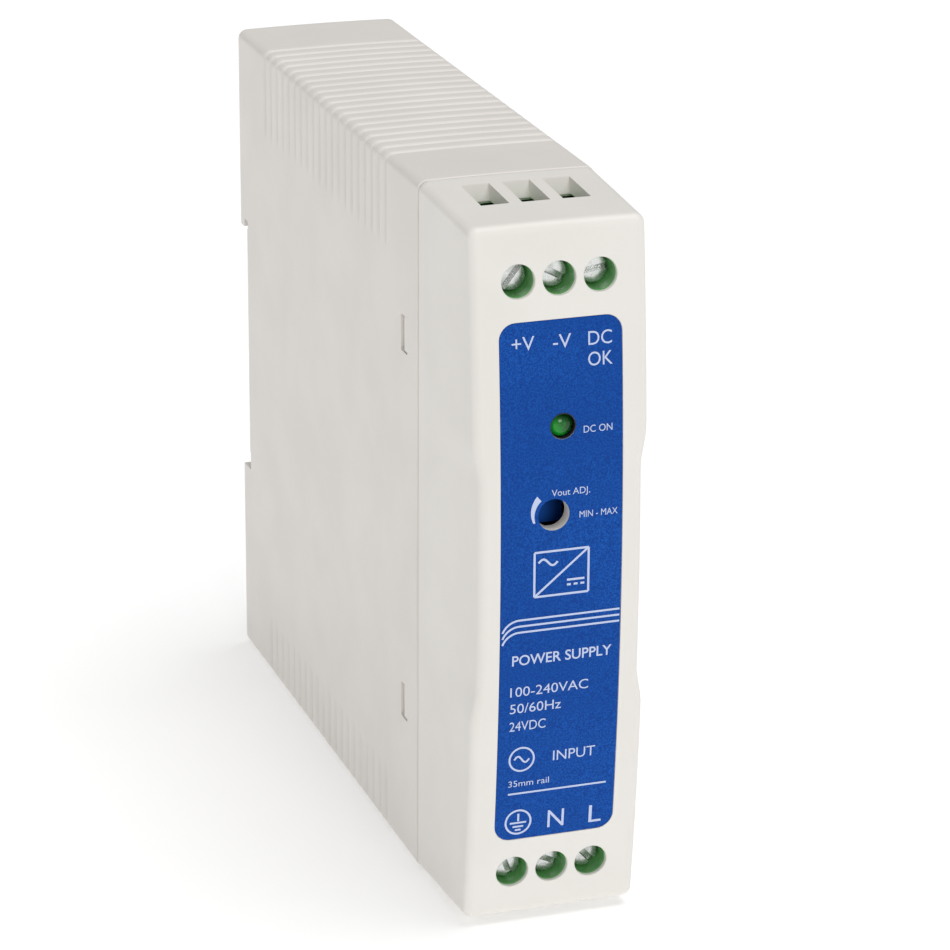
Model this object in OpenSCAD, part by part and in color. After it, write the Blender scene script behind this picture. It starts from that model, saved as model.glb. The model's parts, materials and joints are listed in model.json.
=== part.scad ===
// Slim power supply for a 35 mm top-hat rail.
// The front faces -Y, +Z is up, and the origin lies on the rail seat, on the rail's centreline.
// Sub-parts are drawn with y as the depth behind the foremost point and z from mid-height.

/* [Case] */
// Width of the case, along the rail
case_w = 22.5; // [22:0.5:30]
// Height of the case
case_h = 90; // [88:1:120]
// Depth from the foremost point to the rear face
case_d = 100; // [98:1:140]
// Thickness of the side walls
side_wall = 1.4; // [1:0.1:1.5]
// Thickness of the top and bottom walls
end_wall = 1.8; // [1.2:0.1:2]
// Thickness of the wall behind the rail
rear_wall = 1.8; // [1.4:0.1:3]
// Radius of the case's long edges
edge_r = 1.3; // [0.8:0.1:1.5]

/* [Rail slot] */
// Depth of the slot that takes the rail
slot_d = 3.5; // [3.2:0.1:6]
// Height of the slot's mouth
slot_h = 35.1; // [34.8:0.1:35.4]
// Width of the rail that the slot takes, edge to edge
rail_h = 35; // [35:0.1:35.2]
// Thickness of the rail's flanges
rail_t = 1; // [0.9:0.1:1.2]
// Play of the rail in the slot
rail_gap = 0.2; // [0.1:0.05:0.3]
// Height of the undercut behind the upper lip
hook_h = 1.2; // [1:0.1:2]

/* [Rail clip] */
// Travel of the clip when it is pulled down
clip_travel = 2.8; // [2:0.1:3]
// Width of the clip's flanges
clip_w = 11; // [9:0.5:13]
// Width of the clip's face
clip_face_w = 8; // [6:0.5:8]
// Height of the nose that stands in the slot
nose_h = 2.4; // [2:0.1:2.8]
// Sliding clearance of the clip
clip_gap = 0.2; // [0.1:0.05:0.3]
// Outside diameter of the clip's spring
spring_d = 2.2; // [1.8:0.1:2.2]
// Wire diameter of the clip's spring
spring_wire = 0.35; // [0.25:0.05:0.4]
// Number of turns in the clip's spring
spring_turns = 8; // [5:1:9]

/* [Cooling grooves] */
// Number of grooves
groove_count = 20; // [8:1:21]
// Distance from groove to groove
groove_pitch = 2.8; // [2:0.1:2.9]
// Width of a groove
groove_w = 1.2; // [0.8:0.1:1.4]
// Depth of a groove
groove_depth = 0.55; // [0.2:0.05:0.6]
// Depth of the first groove behind the front
groove_start = 33; // [31:0.5:36]
// How far the upper grooves run down the sides
groove_drop = 12.5; // [6:0.5:16]
// How far the lower grooves run up the sides
groove_rise = 10; // [6:0.5:16]

/* [Front cover] */
// Depth of the front cover
cover_d = 20.8; // [20.8:0.1:24]
// Thickness of the cover's front wall
front_wall = 1.8; // [1.4:0.1:1.9]
// How far the middle of the front stands out
bow = 2.9; // [1.5:0.1:3]
// Inward draw of the top and bottom between seam and front
end_draw = 0.9; // [0.3:0.1:1]
// Inward draw of each side between seam and front
side_draw = 0.2; // [0:0.1:0.3]
// Chamfer round the front
front_bevel = 0.9; // [0.4:0.1:1.2]
// Depth of the finger grips in the sides
grip_depth = 0.7; // [0.4:0.1:0.9]
// Height of the finger grips at half depth
grip_h = 30.6; // [20:0.2:36]
// Length of the slope at each end of a grip
grip_run = 5; // [2:0.5:8]
// Height of the grips' middle above mid-height
grip_z = 0.6; // [-2:0.1:2]
// Clearance of the cover's skirt in the case
skirt_gap = 0.12; // [0.08:0.02:0.2]
// Thickness of the skirt
skirt_t = 0.8; // [0.6:0.1:0.9]
// Height of the snaps above and below mid-height
snap_z = 24.2; // [20:0.2:28]
// Height of a snap window
snap_h = 4.7; // [3:0.1:6]
// Length of a snap window
snap_w = 2.6; // [2:0.1:3]
// Distance from the seam to a snap window
snap_back = 3.8; // [3.6:0.1:4.4]

/* [Label] */
// Width of the label
label_w = 15.2; // [12:0.1:16]
// Height of the label
label_h = 65.8; // [40:0.2:66]
// Height of the label's middle above mid-height
label_z = -0.4; // [-1:0.1:1]
// Corner radius of the label
label_r = 2; // [1:0.1:3]
// Thickness of the label
label_t = 0.2; // [0.1:0.05:0.25]
// Depth of the label's recess
label_sink = 0.14; // [0.1:0.02:0.2]

/* [Terminals] */
// Distance from pole to pole
pole_pitch = 5.08; // [5:0.08:5.08]
// Distance of the upper screws from the top of the case
screw_drop = 7.7; // [7.6:0.1:8.2]
// How much nearer to its end the lower row is
row_shift = 0.55; // [0:0.05:0.6]
// Diameter of the access holes
access_d = 4.1; // [3.9:0.1:4.6]
// Diameter of the terminal screws
screw_d = 2.5; // [2.2:0.1:3]
// Diameter of the screw heads
head_d = 3.7; // [3.4:0.1:3.7]
// Height of the screw heads
head_h = 1.6; // [1.4:0.1:1.6]
// Travel of the clamp cages
cage_travel = 2.6; // [1.8:0.1:2.6]
// Running clearance of the screws
screw_gap = 0.05; // [0.03:0.01:0.08]
// Width of the wire entries
entry_w = 3.5; // [3:0.1:3.6]

/* [Indicator and trimmer] */
// Height of the indicator above mid-height
led_z = 19.6; // [17:0.1:24]
// Diameter of the indicator lens
led_d = 3; // [3:0.1:3.2]
// Height of the trimmer's axis above mid-height
trimmer_z = 8.8; // [4:0.1:10]
// Offset of the trimmer's axis to the left
trimmer_left = 1; // [0:0.1:1.5]
// Diameter of the trimmer hole in the cover
trimmer_hole = 3.9; // [3.6:0.1:4.6]
// Diameter of the trimmer's rotor
rotor_d = 3; // [2.4:0.1:3.2]

/* [Boards] */
// Thickness of both circuit boards
board_t = 1.6; // [1:0.1:1.6]
// Diameter of the component leads
lead_d = 0.7; // [0.5:0.05:0.8]
// Clearance round a lead in its hole
lead_gap = 0.15; // [0.1:0.05:0.2]
// Length of a lead below the board
lead_tail = 1.2; // [0.8:0.1:1.4]

/* [Hidden] */
$fn = 64;
CUT = 0.5;                                    // overshoot of a cutting tool
SLIT = 0.02;                                  // gap between pieces that lie on each other
head_gap = 0.15;                              // gap round a screw's head
seat_y = case_d - slot_d;
inside_w = case_w - 2 * side_wall;
inside_h = case_h - 2 * end_wall;
inside_back = seat_y - rear_wall;
bow_r = (pow(case_h / 2, 2) + bow * bow) / (2 * bow);
slot_top = slot_h / 2;
slot_bottom = -slot_h / 2;
hook_top = slot_top + hook_h;
rail_mid = hook_top - rail_gap - rail_h / 2;  // rail centreline above mid-height
relief = 0.3;                                 // grooves beyond both ends of the seat

clip_floor = seat_y + 0.5;
clip_back = case_d - 0.2;
flange_y = clip_floor + clip_gap;
flange_t = 1.3;
lip_y = flange_y + flange_t + clip_gap;
clip_bottom = -case_h / 2 + clip_travel + 0.4;
bar_top = clip_bottom + 3.6;
ledge_bottom = bar_top + clip_gap;
ledge_h = 2;
window_top = slot_bottom - 6.4;
window_w = 3.4;
spring_y = (clip_floor + clip_back) / 2;
spring_bottom = ledge_bottom + ledge_h;
spring_h = window_top - spring_bottom;

groove_r = max(edge_r - groove_depth, 0.3);
window_y = cover_d + snap_back;
arm_gap = 0.4;

screw_z = case_h / 2 - screw_drop;
block_front = 4.3;
block_back = 18.2;
block_end = 0.35;                             // wall outside the outer poles' cavities
block_top = inside_h / 2 - end_draw - row_shift - 0.25;
block_bottom = screw_z - 4.1;
block_w = 3 * pole_pitch + block_end;
head_y = block_front + 0.3;
shank_y = head_y + head_h;
shelf_y = shank_y + 0.1;
cavity_y = shelf_y + 0.7;
cavity_back = 16.4;
cavity_w = 4.2;
cavity_h = 4.6;
cage_w = 3.9;
cage_h = 3.8;
cage_t = 1.1;
cage_side = (cage_w - screw_d) / 2 - screw_gap;
cage_y = cavity_y + 0.3 + cage_travel;
contact_y = cage_y + cage_t + 0.4;
contact_t = 0.7;
cage_back = 15;
contact_w = 2.2;
screw_end = contact_y - 0.2;
pin_w = 0.8;
pin_z = block_bottom + 0.5;

front_board_y = block_back;
front_board_back = front_board_y + board_t;
front_board_w = inside_w - 2 * skirt_gap - 2 * skirt_t - 0.4;
front_board_h = inside_h - 2 * skirt_gap - 2 * skirt_t - 0.6;
led_x = 0.15;
led_front = 0.6;
led_body = 5;
lens_gap = 0.1;                                // gap round the lens in its hole
trimmer_front = 7;
trimmer_w = 7;
rotor_deep = 2.4;

sheet_x = -inside_w / 2 + 0.2;
sheet_t = 0.3;
board_x = -inside_w / 2 + 2.4 + board_t;      // component side of the main board
board_y = front_board_back + 1.4;
board_back = inside_back - 1;
board_h = inside_h - 3.6;
stand = 0.25;                                 // gap under a component
link_count = 6;
link_pitch = 2.54;
link_z = -8;
link_y = board_y + 2.6;

// Places of the parts on the main board: [depth, height]
fuse_at = [32, -36.5];
thermistor_at = [43, -35.5];
x_cap_at = [56, -36];
choke_at = [72, -33.5];
y_cap_at = [87, -35.5];
bridge_at = [88.5, -22];
bulk_at = [25.5, -15];
mosfet_at = [70, -18];
transformer_at = [66, 4];
controller_at = [87, -7];
opto_at = [87, 7];
diode_at = [66, 27];
output_cap_at = [30, 32];
inductor_at = [48, 32];
film_at = [40, 13];
resistor_at = [86, 20];

function mirrored(up) = up ? 1 : -1;
function pole_x(pole) = (pole - 2) * pole_pitch;
function two(at, dy, dz) = [[at[0] - dy / 2, at[1] - dz / 2], [at[0] + dy / 2, at[1] + dz / 2]];
function row(at, count, dy, dz) =
    [for (i = [0 : count - 1]) [at[0] + (i - (count - 1) / 2) * dy, at[1] + (i - (count - 1) / 2) * dz]];
function link_points() = row([link_y, link_z], link_count, 0, link_pitch);
function bulk_leads() = two([bulk_at[0] - 1.6, bulk_at[1]], 0, 5);
function transformer_leads() =
    concat(row([transformer_at[0] - 9.4, transformer_at[1]], 4, 0, 3.4),
           row([transformer_at[0] + 9.4, transformer_at[1]], 4, 0, 3.4));
function mosfet_leads() = row([mosfet_at[0] + 12, mosfet_at[1]], 3, 0, 2.54);
function diode_leads() = row([diode_at[0] + 12, diode_at[1]], 3, 0, 2.54);
function ic_leads(at, count) =
    concat(row([at[0] - 3.8, at[1]], count, 0, 2.54), row([at[0] + 3.8, at[1]], count, 0, 2.54));
function output_cap_points() = [output_cap_at, [output_cap_at[0] + 9, output_cap_at[1]]];
function resistor_points() = [for (i = [0 : 3]) [resistor_at[0], resistor_at[1] + i * 4]];
function lead_points() = concat(
    two(fuse_at, 13, 0), two(thermistor_at, 0, 5), two(x_cap_at, 10, 0),
    two([choke_at[0], choke_at[1] - 4], 8, 0), two([choke_at[0], choke_at[1] + 4], 8, 0),
    two(y_cap_at, 0, 5), row(bridge_at, 4, 0, 2.5), bulk_leads(), mosfet_leads(),
    transformer_leads(), ic_leads(controller_at, 4), ic_leads(opto_at, 2), diode_leads(),
    [for (at = output_cap_points()) each two(at, 0, 3.5)], two(inductor_at, 5, 0),
    two(film_at, 7.5, 0), [for (at = resistor_points()) each two(at, 10, 0)]);

/* Helpers */

// Moves what is drawn from depth and mid-height to the rail's origin
module in_frame() {
    translate([0, -seat_y, -rail_mid]) children();
}

// Extrudes an outline drawn in x and z along the depth
module along_y(y0, y1) {
    translate([0, y1, 0]) rotate([90, 0, 0]) linear_extrude(y1 - y0) children();
}

// Extrudes an outline drawn in y and z across the width
module along_x(x0, x1) {
    translate([x0, 0, 0]) rotate([90, 0, 90]) linear_extrude(x1 - x0) children();
}

// A box from two opposite corners
module span(low, high) {
    translate(low) cube(high - low);
}

// A rounded rectangle about the origin, with true arcs
module rounded(w, h, r) {
    square([w - 2 * r, h], center = true);
    square([w, h - 2 * r], center = true);
    for (x = [-1, 1], y = [-1, 1]) translate([x * (w / 2 - r), y * (h / 2 - r)]) circle(r);
}

// A cylinder along the depth
module round_y(x, z, y0, y1, d) {
    translate([x, y1, z]) rotate([90, 0, 0]) cylinder(h = y1 - y0, d = d);
}

// A cylinder standing on the main board
module round_x(at, x0, x1, d) {
    translate([x0, at[0], at[1]]) rotate([0, 90, 0]) cylinder(h = x1 - x0, d = d);
}

// Leads through the main board, up to the height given
module leads(points, top) {
    for (at = points) round_x(at, board_x - board_t - lead_tail, top, lead_d);
}

// Upright or upside down, for the two rows of terminals
module row_side(up) {
    if (up) children();
    else translate([0, 0, -row_shift]) mirror([0, 0, 1]) children();
}

/* Case */

module clip_channel() {
    low = -case_h / 2 - CUT;
    flange = clip_w / 2 + clip_gap;
    face = clip_face_w / 2 + clip_gap;
    span([-flange, clip_floor, low], [flange, lip_y, slot_bottom + CUT]);
    span([-face, clip_floor, low], [face, case_d + CUT, slot_bottom + CUT]);
}

module grooves() {
    for (i = [0 : groove_count - 1]) {
        y = groove_start + i * groove_pitch;
        along_y(y, y + groove_w) difference() {
            square([case_w + 2, case_h + 2], center = true);
            rounded(case_w - 2 * groove_depth, case_h - 2 * groove_depth, groove_r);
            translate([-case_w, groove_rise - case_h / 2])
                square([2 * case_w, case_h - groove_drop - groove_rise]);
        }
    }
}

module board_guides() {
    reach = board_x + 0.1;
    for (side = [-1, 1]) difference() {
        span([board_x - board_t - 1, cover_d + 12, side > 0 ? board_h / 2 - 0.6 : -inside_h / 2 - CUT],
             [board_x + 1, inside_back, side > 0 ? inside_h / 2 + CUT : -board_h / 2 + 0.6]);
        span([board_x - board_t - 0.1, cover_d, -board_h / 2 - 0.1], [reach, inside_back, board_h / 2 + 0.1]);
    }
}

module rear_case() {
    color([0.82, 0.81, 0.79]) in_frame() {
        difference() {
            along_y(cover_d + SLIT, case_d) rounded(case_w, case_h, edge_r);
            span([-inside_w / 2, cover_d - CUT, -inside_h / 2], [inside_w / 2, inside_back, inside_h / 2]);
            span([-case_w, seat_y, slot_bottom], [case_w, case_d + CUT, slot_top]);
            span([-case_w, seat_y - relief, slot_top], [case_w, seat_y + rail_t + 0.3, hook_top]);
            span([-case_w, seat_y - relief, slot_bottom], [case_w, seat_y + CUT, slot_bottom + nose_h + 0.2]);
            clip_channel();
            for (z = [-snap_z, snap_z])
                span([-case_w, window_y, z - snap_h / 2], [case_w, window_y + snap_w, z + snap_h / 2]);
            grooves();
        }
        board_guides();
        spring_ledge();
    }
}

// The stop that the clip's spring stands on
module spring_ledge() {
    half = window_w / 2 - clip_gap;
    span([-half, clip_floor - CUT, ledge_bottom], [half, clip_back - 0.5, spring_bottom]);
}

module cover_side_outline(inset) {
    top = case_h / 2 - inset;
    bevel = front_bevel;
    front = inset > 0 ? inset : -CUT;
    intersection() {
        polygon([
            [cover_d, -top], [cover_d, top],
            [bow + bevel, top - end_draw + bevel * end_draw / cover_d],
            [bow - CUT, top - end_draw - bevel - CUT * bevel / (bow + bevel)],
            [front, top - end_draw - bevel - bow], [front, -top + end_draw + bevel + bow],
            [bow - CUT, -top + end_draw + bevel + CUT * bevel / (bow + bevel)],
            [bow + bevel, -top + end_draw - bevel * end_draw / cover_d]]);
        translate([bow_r, 0]) circle(bow_r - inset, $fn = 720);
    }
}

module cover_plan_outline(inset) {
    seam = case_w / 2 - inset;
    front = seam - side_draw;
    y0 = inset > 0 ? inset : -CUT;
    polygon([
        [-seam, cover_d], [seam, cover_d], [front, front_bevel + inset], [front - front_bevel, y0],
        [-front + front_bevel, y0], [-front, front_bevel + inset]]);
}

// One finger grip: shallow towards the seam, with long sloping ends
module grip(side) {
    surface = case_w / 2 - side_draw;
    deep = surface - grip_depth;
    low = grip_h / 2 - grip_run / 2;
    high = grip_h / 2 + grip_run / 2;
    intersection() {
        along_y(-CUT, cover_d) translate([0, grip_z]) polygon([
            [side * deep, -low], [side * deep, low], [side * surface, high], [side * case_w, high],
            [side * case_w, -high], [side * surface, -high]]);
        translate([0, 0, grip_z - grip_h]) linear_extrude(2 * grip_h) polygon([
            [side * deep, -CUT], [side * (case_w + 2), -CUT], [side * (case_w / 2), cover_d - 2]]);
    }
}

// Funnels for the wires in one end wall
module wire_funnels() {
    top = case_h / 2;
    low = block_top - 0.2;
    for (pole = [1 : 3])
        along_x(pole_x(pole) - entry_w / 2, pole_x(pole) + entry_w / 2) polygon([
            [contact_y - 1.9, top + CUT], [cage_back + 3, top + CUT], [cage_back + 2.6, top],
            [cage_back + 2.1, low], [contact_y - 0.2, low], [contact_y - 1.6, top]]);
}

module access_holes() {
    for (pole = [1 : 3], up = [false, true])
        row_side(up) round_y(pole_x(pole), screw_z, -CUT, block_front - 0.1, access_d);
}

module label_outline(grow) {
    translate([0, label_z]) rounded(label_w + 2 * grow, label_h + 2 * grow, label_r + grow);
}

module bow_solid(lift) {
    along_x(-case_w, case_w) translate([bow_r, 0]) circle(bow_r + lift, $fn = 720);
}

// Skirt and snap arms that go into the case
module cover_skirt() {
    w = inside_w - 2 * skirt_gap;
    h = inside_h - 2 * skirt_gap;
    difference() {
        union() {
            along_y(cover_d - 1.5, cover_d + 2) square([w, h], center = true);
            for (z = [-snap_z, snap_z])
                span([-w / 2, cover_d, z - snap_h / 2 + arm_gap],
                     [w / 2, window_y + snap_w + 0.8, z + snap_h / 2 - arm_gap]);
        }
        span([-w / 2 + skirt_t, cover_d - 2, -h / 2 + skirt_t],
             [w / 2 - skirt_t, window_y + snap_w + 2, h / 2 - skirt_t]);
    }
    // Barbs of the snaps, in the case's windows
    for (side = [-1, 1], z = [-snap_z, snap_z])
        translate([0, 0, z - snap_h / 2 + arm_gap]) linear_extrude(snap_h - 2 * arm_gap) polygon([
            [side * (w / 2 - 0.3), window_y + arm_gap], [side * (case_w / 2 - 0.35), window_y + arm_gap],
            [side * (w / 2 - 0.3), window_y + snap_w - 0.1]]);
}

module front_cover() {
    color([0.91, 0.9, 0.88]) in_frame() {
        difference() {
            intersection() {
                along_x(-case_w, case_w) cover_side_outline(0);
                translate([0, 0, -case_h]) linear_extrude(2 * case_h) cover_plan_outline(0);
                along_y(-CUT, cover_d) rounded(case_w, case_h, edge_r);
            }
            intersection() {
                along_x(-case_w, case_w) cover_side_outline(front_wall);
                span([-inside_w / 2 + side_draw + grip_depth, 0, -inside_h / 2 + end_draw],
                     [inside_w / 2 - side_draw - grip_depth, cover_d - 3, inside_h / 2 - end_draw]);
            }
            span([-inside_w / 2 + skirt_gap + skirt_t, cover_d - 3.1, -inside_h / 2 + skirt_gap + skirt_t],
                 [inside_w / 2 - skirt_gap - skirt_t, cover_d + CUT, inside_h / 2 - skirt_gap - skirt_t]);
            for (side = [-1, 1]) grip(side);
            access_holes();
            wire_funnels();
            mirror([0, 0, 1]) wire_funnels();
            round_y(led_x, led_z, -CUT, front_wall + bow, led_d + 2 * lens_gap);
            round_y(-trimmer_left, trimmer_z, -CUT, front_wall + bow, trimmer_hole);
            intersection() {
                along_y(-CUT, bow) label_outline(0.08);
                difference() {
                    bow_solid(1);
                    bow_solid(-label_sink);
                }
            }
        }
        cover_skirt();
    }
}

module front_label() {
    color([0.08, 0.29, 0.63]) in_frame() difference() {
        intersection() {
            along_y(-CUT, bow + 1) label_outline(0);
            bow_solid(label_t + SLIT - label_sink);
        }
        bow_solid(SLIT - label_sink);
        round_y(led_x, led_z, -2, 2, led_d + 2 * lens_gap + 0.2);
        round_y(-trimmer_left, trimmer_z, -2, 2, trimmer_hole + 0.2);
    }
}

module insulation_sheet() {
    color([0.93, 0.92, 0.85, 0.8]) in_frame()
        span([sheet_x, window_y + snap_w + 2, -board_h / 2 + 1], [sheet_x + sheet_t, board_back, board_h / 2 - 1]);
}

/* Rail clip */

module rail_clip() {
    nose_top = slot_bottom + nose_h;
    color([0.86, 0.85, 0.83]) in_frame() difference() {
        union() {
            span([-clip_w / 2, flange_y, clip_bottom], [clip_w / 2, flange_y + flange_t, slot_bottom - 0.6]);
            span([-clip_face_w / 2, flange_y, clip_bottom], [clip_face_w / 2, clip_back, slot_bottom]);
            // Nose, with a ramp that the rail pushes past
            along_x(-clip_face_w / 2, clip_face_w / 2) polygon([
                [seat_y + rail_t + 0.15, slot_bottom - 1], [clip_back, slot_bottom - 1],
                [clip_back, slot_bottom + 0.6], [seat_y + rail_t + 1, nose_top],
                [seat_y + rail_t + 0.15, nose_top]]);
        }
        span([-window_w / 2, 0, bar_top], [window_w / 2, case_d + 1, window_top]);
        // Slot for a screwdriver's tip
        span([-2.6, 0, clip_bottom + 1.2], [2.6, case_d + 1, clip_bottom + 2.4]);
        span([-clip_w, 0, slot_bottom - 0.7], [clip_w, seat_y + rail_t + 0.15, slot_bottom + 10]);
    }
}

// Coil spring: the wire's centre winds round z, and its section stays upright
module clip_spring() {
    sides = 8;
    steps = 24;
    wire_r = spring_wire / 2;
    coil_r = spring_d / 2 - wire_r;
    low = spring_bottom + wire_r + SLIT;
    rise = spring_h - spring_wire - 2 * SLIT;
    sections = spring_turns * steps;
    function turn(i) = 360 * i / steps;
    function wire_point(i, j) = [
        cos(turn(i)) * (coil_r + wire_r * cos(360 * j / sides)),
        sin(turn(i)) * (coil_r + wire_r * cos(360 * j / sides)),
        rise * i / sections + wire_r * sin(360 * j / sides)];
    points = [for (i = [0 : sections], j = [0 : sides - 1]) wire_point(i, j)];
    function corner(i, j) = i * sides + j % sides;
    skin = [for (i = [0 : sections - 1], j = [0 : sides - 1])
        [corner(i, j), corner(i, j + 1), corner(i + 1, j + 1), corner(i + 1, j)]];
    ends = [[for (j = [sides - 1 : -1 : 0]) corner(0, j)], [for (j = [0 : sides - 1]) corner(sections, j)]];
    color([0.75, 0.76, 0.78]) in_frame() translate([0, spring_y, low])
        polyhedron(points, concat(skin, ends), convexity = 10);
}

/* Boards */

module front_board() {
    hole = lead_d + 2 * lead_gap;
    color([0.1, 0.36, 0.2]) in_frame() difference() {
        span([-front_board_w / 2, front_board_y, -front_board_h / 2],
             [front_board_w / 2, front_board_back, front_board_h / 2]);
        for (pole = [1 : 3], up = [false, true])
            row_side(up) round_y(pole_x(pole), pin_z, 0, cover_d + 2, pin_w * 1.42 + 2 * lead_gap);
        for (dx = [-1, 1]) round_y(led_x + dx * 1.27, led_z, 0, cover_d + 2, hole);
        for (dx = [-1 : 1]) round_y(-trimmer_left + dx * 2.54, trimmer_z - 2.4, 0, cover_d + 2, hole);
        for (at = link_points()) round_y(board_x + 2.4, at[1], 0, cover_d + 2, hole + 0.2);
    }
}

module main_board() {
    color([0.12, 0.4, 0.22]) in_frame() difference() {
        span([board_x - board_t, board_y, -board_h / 2], [board_x, board_back, board_h / 2]);
        // Corners cut back to pass the cover's skirt
        for (side = [-1, 1])
            span([-case_w, board_y - 1, side > 0 ? front_board_h / 2 : -case_h],
                 [case_w, cover_d + 3, side > 0 ? case_h : -front_board_h / 2]);
        for (at = concat(lead_points(), link_points()))
            round_x(at, -case_w, case_w, lead_d + 2 * lead_gap);
    }
}

module board_link_pins() {
    half = lead_d / 2 - 0.05;
    x = board_x + 2.4;
    color([0.83, 0.68, 0.28]) in_frame() for (at = link_points()) {
        span([x - half, front_board_y - 1, at[1] - half], [x + half, link_y + half, at[1] + half]);
        span([board_x - board_t - lead_tail, link_y - half, at[1] - half], [x, link_y + half, at[1] + half]);
    }
}

module board_link_spacer() {
    x = board_x + 2.4;
    half = link_count * link_pitch / 2;
    color([0.12, 0.12, 0.13]) in_frame() difference() {
        span([x - 1.2, front_board_back + SLIT, link_z - half], [x + 1.2, front_board_back + 2.2, link_z + half]);
        for (at = link_points())
            span([x - lead_d / 2, 0, at[1] - lead_d / 2], [x + lead_d / 2, case_d, at[1] + lead_d / 2]);
    }
}

/* Terminals */

module block_shape() {
    difference() {
        along_x(-block_w / 2, block_w / 2) polygon([
            [block_front, block_bottom], [block_front, screw_z + head_d / 2 + 0.2],
            [block_front + 1.7, block_top], [block_back, block_top], [block_back, block_bottom]]);
        for (pole = [1 : 3]) translate([pole_x(pole), 0, screw_z]) {
            round_y(0, 0, 0, shelf_y, head_d + 2 * head_gap);
            round_y(0, 0, 0, cavity_y + CUT, screw_d + 2 * screw_gap);
            span([-cavity_w / 2, cavity_y, -cavity_h / 2], [cavity_w / 2, cavity_back, cavity_h / 2]);
            span([-entry_w / 2 + 0.1, contact_y - 0.2, 0], [entry_w / 2 - 0.1, cage_back + 0.3, case_h]);
            // Slot for the contact and its pin
            span([-contact_w / 2 - 0.1, contact_y - 0.1, pin_z - pin_w / 2 - 0.1 - screw_z],
                 [contact_w / 2 + 0.1, contact_y + contact_t + 0.1, 0]);
            span([-pin_w / 2 - 0.1, contact_y - 0.1, pin_z - pin_w / 2 - 0.1 - screw_z],
                 [pin_w / 2 + 0.1, case_d, pin_z + pin_w / 2 + 0.1 - screw_z]);
        }
    }
}

module terminal_block(up) {
    color([0.2, 0.56, 0.28]) in_frame() row_side(up) block_shape();
}

// One slotted screw; the slot stands at the angle given
module terminal_screw(up, pole, angle) {
    color([0.78, 0.78, 0.76]) in_frame() row_side(up)
        translate([pole_x(pole), head_y, screw_z]) difference() {
            union() {
                round_y(0, 0, 0, head_h, head_d);
                round_y(0, 0, 0, screw_end - head_y, screw_d);
            }
            rotate([0, angle, 0]) span([-head_d, -CUT, -0.35], [head_d, 0.8, 0.35]);
        }
}

// A clamp cage: the screw draws it towards the front
module clamp_cage(up, pole) {
    color([0.72, 0.6, 0.34]) in_frame() row_side(up) translate([pole_x(pole), 0, screw_z]) difference() {
        span([-cage_w / 2, cage_y, -cage_h / 2], [cage_w / 2, cage_back + 1, cage_h / 2]);
        span([-cage_w / 2 + cage_side, cage_y + cage_t, -cage_h], [cage_w / 2 - cage_side, cage_back, cage_h]);
        round_y(0, 0, 0, cage_y + cage_t + CUT, screw_d + 2 * screw_gap);
    }
}

module contacts(up) {
    z0 = pin_z - pin_w / 2;
    color([0.72, 0.42, 0.24]) in_frame() row_side(up) for (pole = [1 : 3]) translate([pole_x(pole), 0, 0]) {
        span([-contact_w / 2, contact_y, z0], [contact_w / 2, contact_y + contact_t, screw_z + cage_h / 2 - 0.2]);
        span([-pin_w / 2, contact_y, z0], [pin_w / 2, front_board_back + lead_tail, z0 + pin_w]);
    }
}

/* Indicator and trimmer */

module led_lens() {
    color([0.05, 0.55, 0.2]) in_frame() translate([led_x, led_front, led_z]) {
        translate([0, led_d / 2, 0]) sphere(d = led_d);
        round_y(0, 0, led_d / 2, led_body - 0.8, led_d);
        round_y(0, 0, led_body - 1, led_body, led_d + 0.8);
    }
}

module led_leads() {
    color([0.8, 0.8, 0.8]) in_frame() for (dx = [-1.27, 1.27])
        round_y(led_x + dx, led_z, led_front + led_body + SLIT, front_board_back + lead_tail, lead_d - 0.2);
}

module led_spacer() {
    color([0.9, 0.9, 0.88]) in_frame() difference() {
        round_y(led_x, led_z, led_front + led_body + SLIT, front_board_y - SLIT, led_d + 1.4);
        for (dx = [-1.27, 1.27]) round_y(led_x + dx, led_z, 0, cover_d, lead_d);
    }
}

module trimmer_body() {
    rotor_hole = rotor_d + 2 * screw_gap;
    color([0.07, 0.2, 0.5]) in_frame() translate([-trimmer_left, 0, trimmer_z]) difference() {
        span([-trimmer_w / 2, trimmer_front, -trimmer_w / 2], [trimmer_w / 2, front_board_y - 0.3, trimmer_w / 2]);
        round_y(0, 0, 0, trimmer_front + rotor_deep + 0.1, rotor_hole);
    }
}

module trimmer_rotor() {
    color([0.93, 0.92, 0.88]) in_frame() translate([-trimmer_left, trimmer_front, trimmer_z]) difference() {
        round_y(0, 0, 0.15, rotor_deep, rotor_d);
        rotate([0, 35, 0]) span([-rotor_d, 0, -0.3], [rotor_d, 0.9, 0.3]);
        // Arrow nick at one end of the slot
        rotate([0, 35, 0]) span([rotor_d / 2 - 0.6, 0, -0.7], [rotor_d, 0.5, 0.7]);
    }
}

module trimmer_pins() {
    color([0.8, 0.8, 0.78]) in_frame() for (dx = [-1 : 1])
        round_y(-trimmer_left + dx * 2.54, trimmer_z - 2.4, front_board_y - 0.3 + SLIT,
                front_board_back + lead_tail, lead_d - 0.1);
}

/* Parts on the main board */

module fuse_tube() {
    x = board_x + 2.6;
    color([0.75, 0.85, 0.88, 0.6]) in_frame()
        round_y(x, fuse_at[1], fuse_at[0] - 2.6, fuse_at[0] + 2.6, 3.2);
}

module fuse_caps() {
    x = board_x + 2.6;
    color([0.78, 0.78, 0.78]) in_frame() for (side = [-1, 1]) {
        y = fuse_at[0] + side * 3.9;
        round_y(x, fuse_at[1], y - 1.25, y + 1.25, 3.6);
        round_y(x, fuse_at[1], min(y, fuse_at[0] + side * 6.5), max(y, fuse_at[0] + side * 6.5), lead_d);
        round_x([fuse_at[0] + side * 6.5, fuse_at[1]], board_x - board_t - lead_tail, x + lead_d / 2, lead_d);
    }
}

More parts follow.
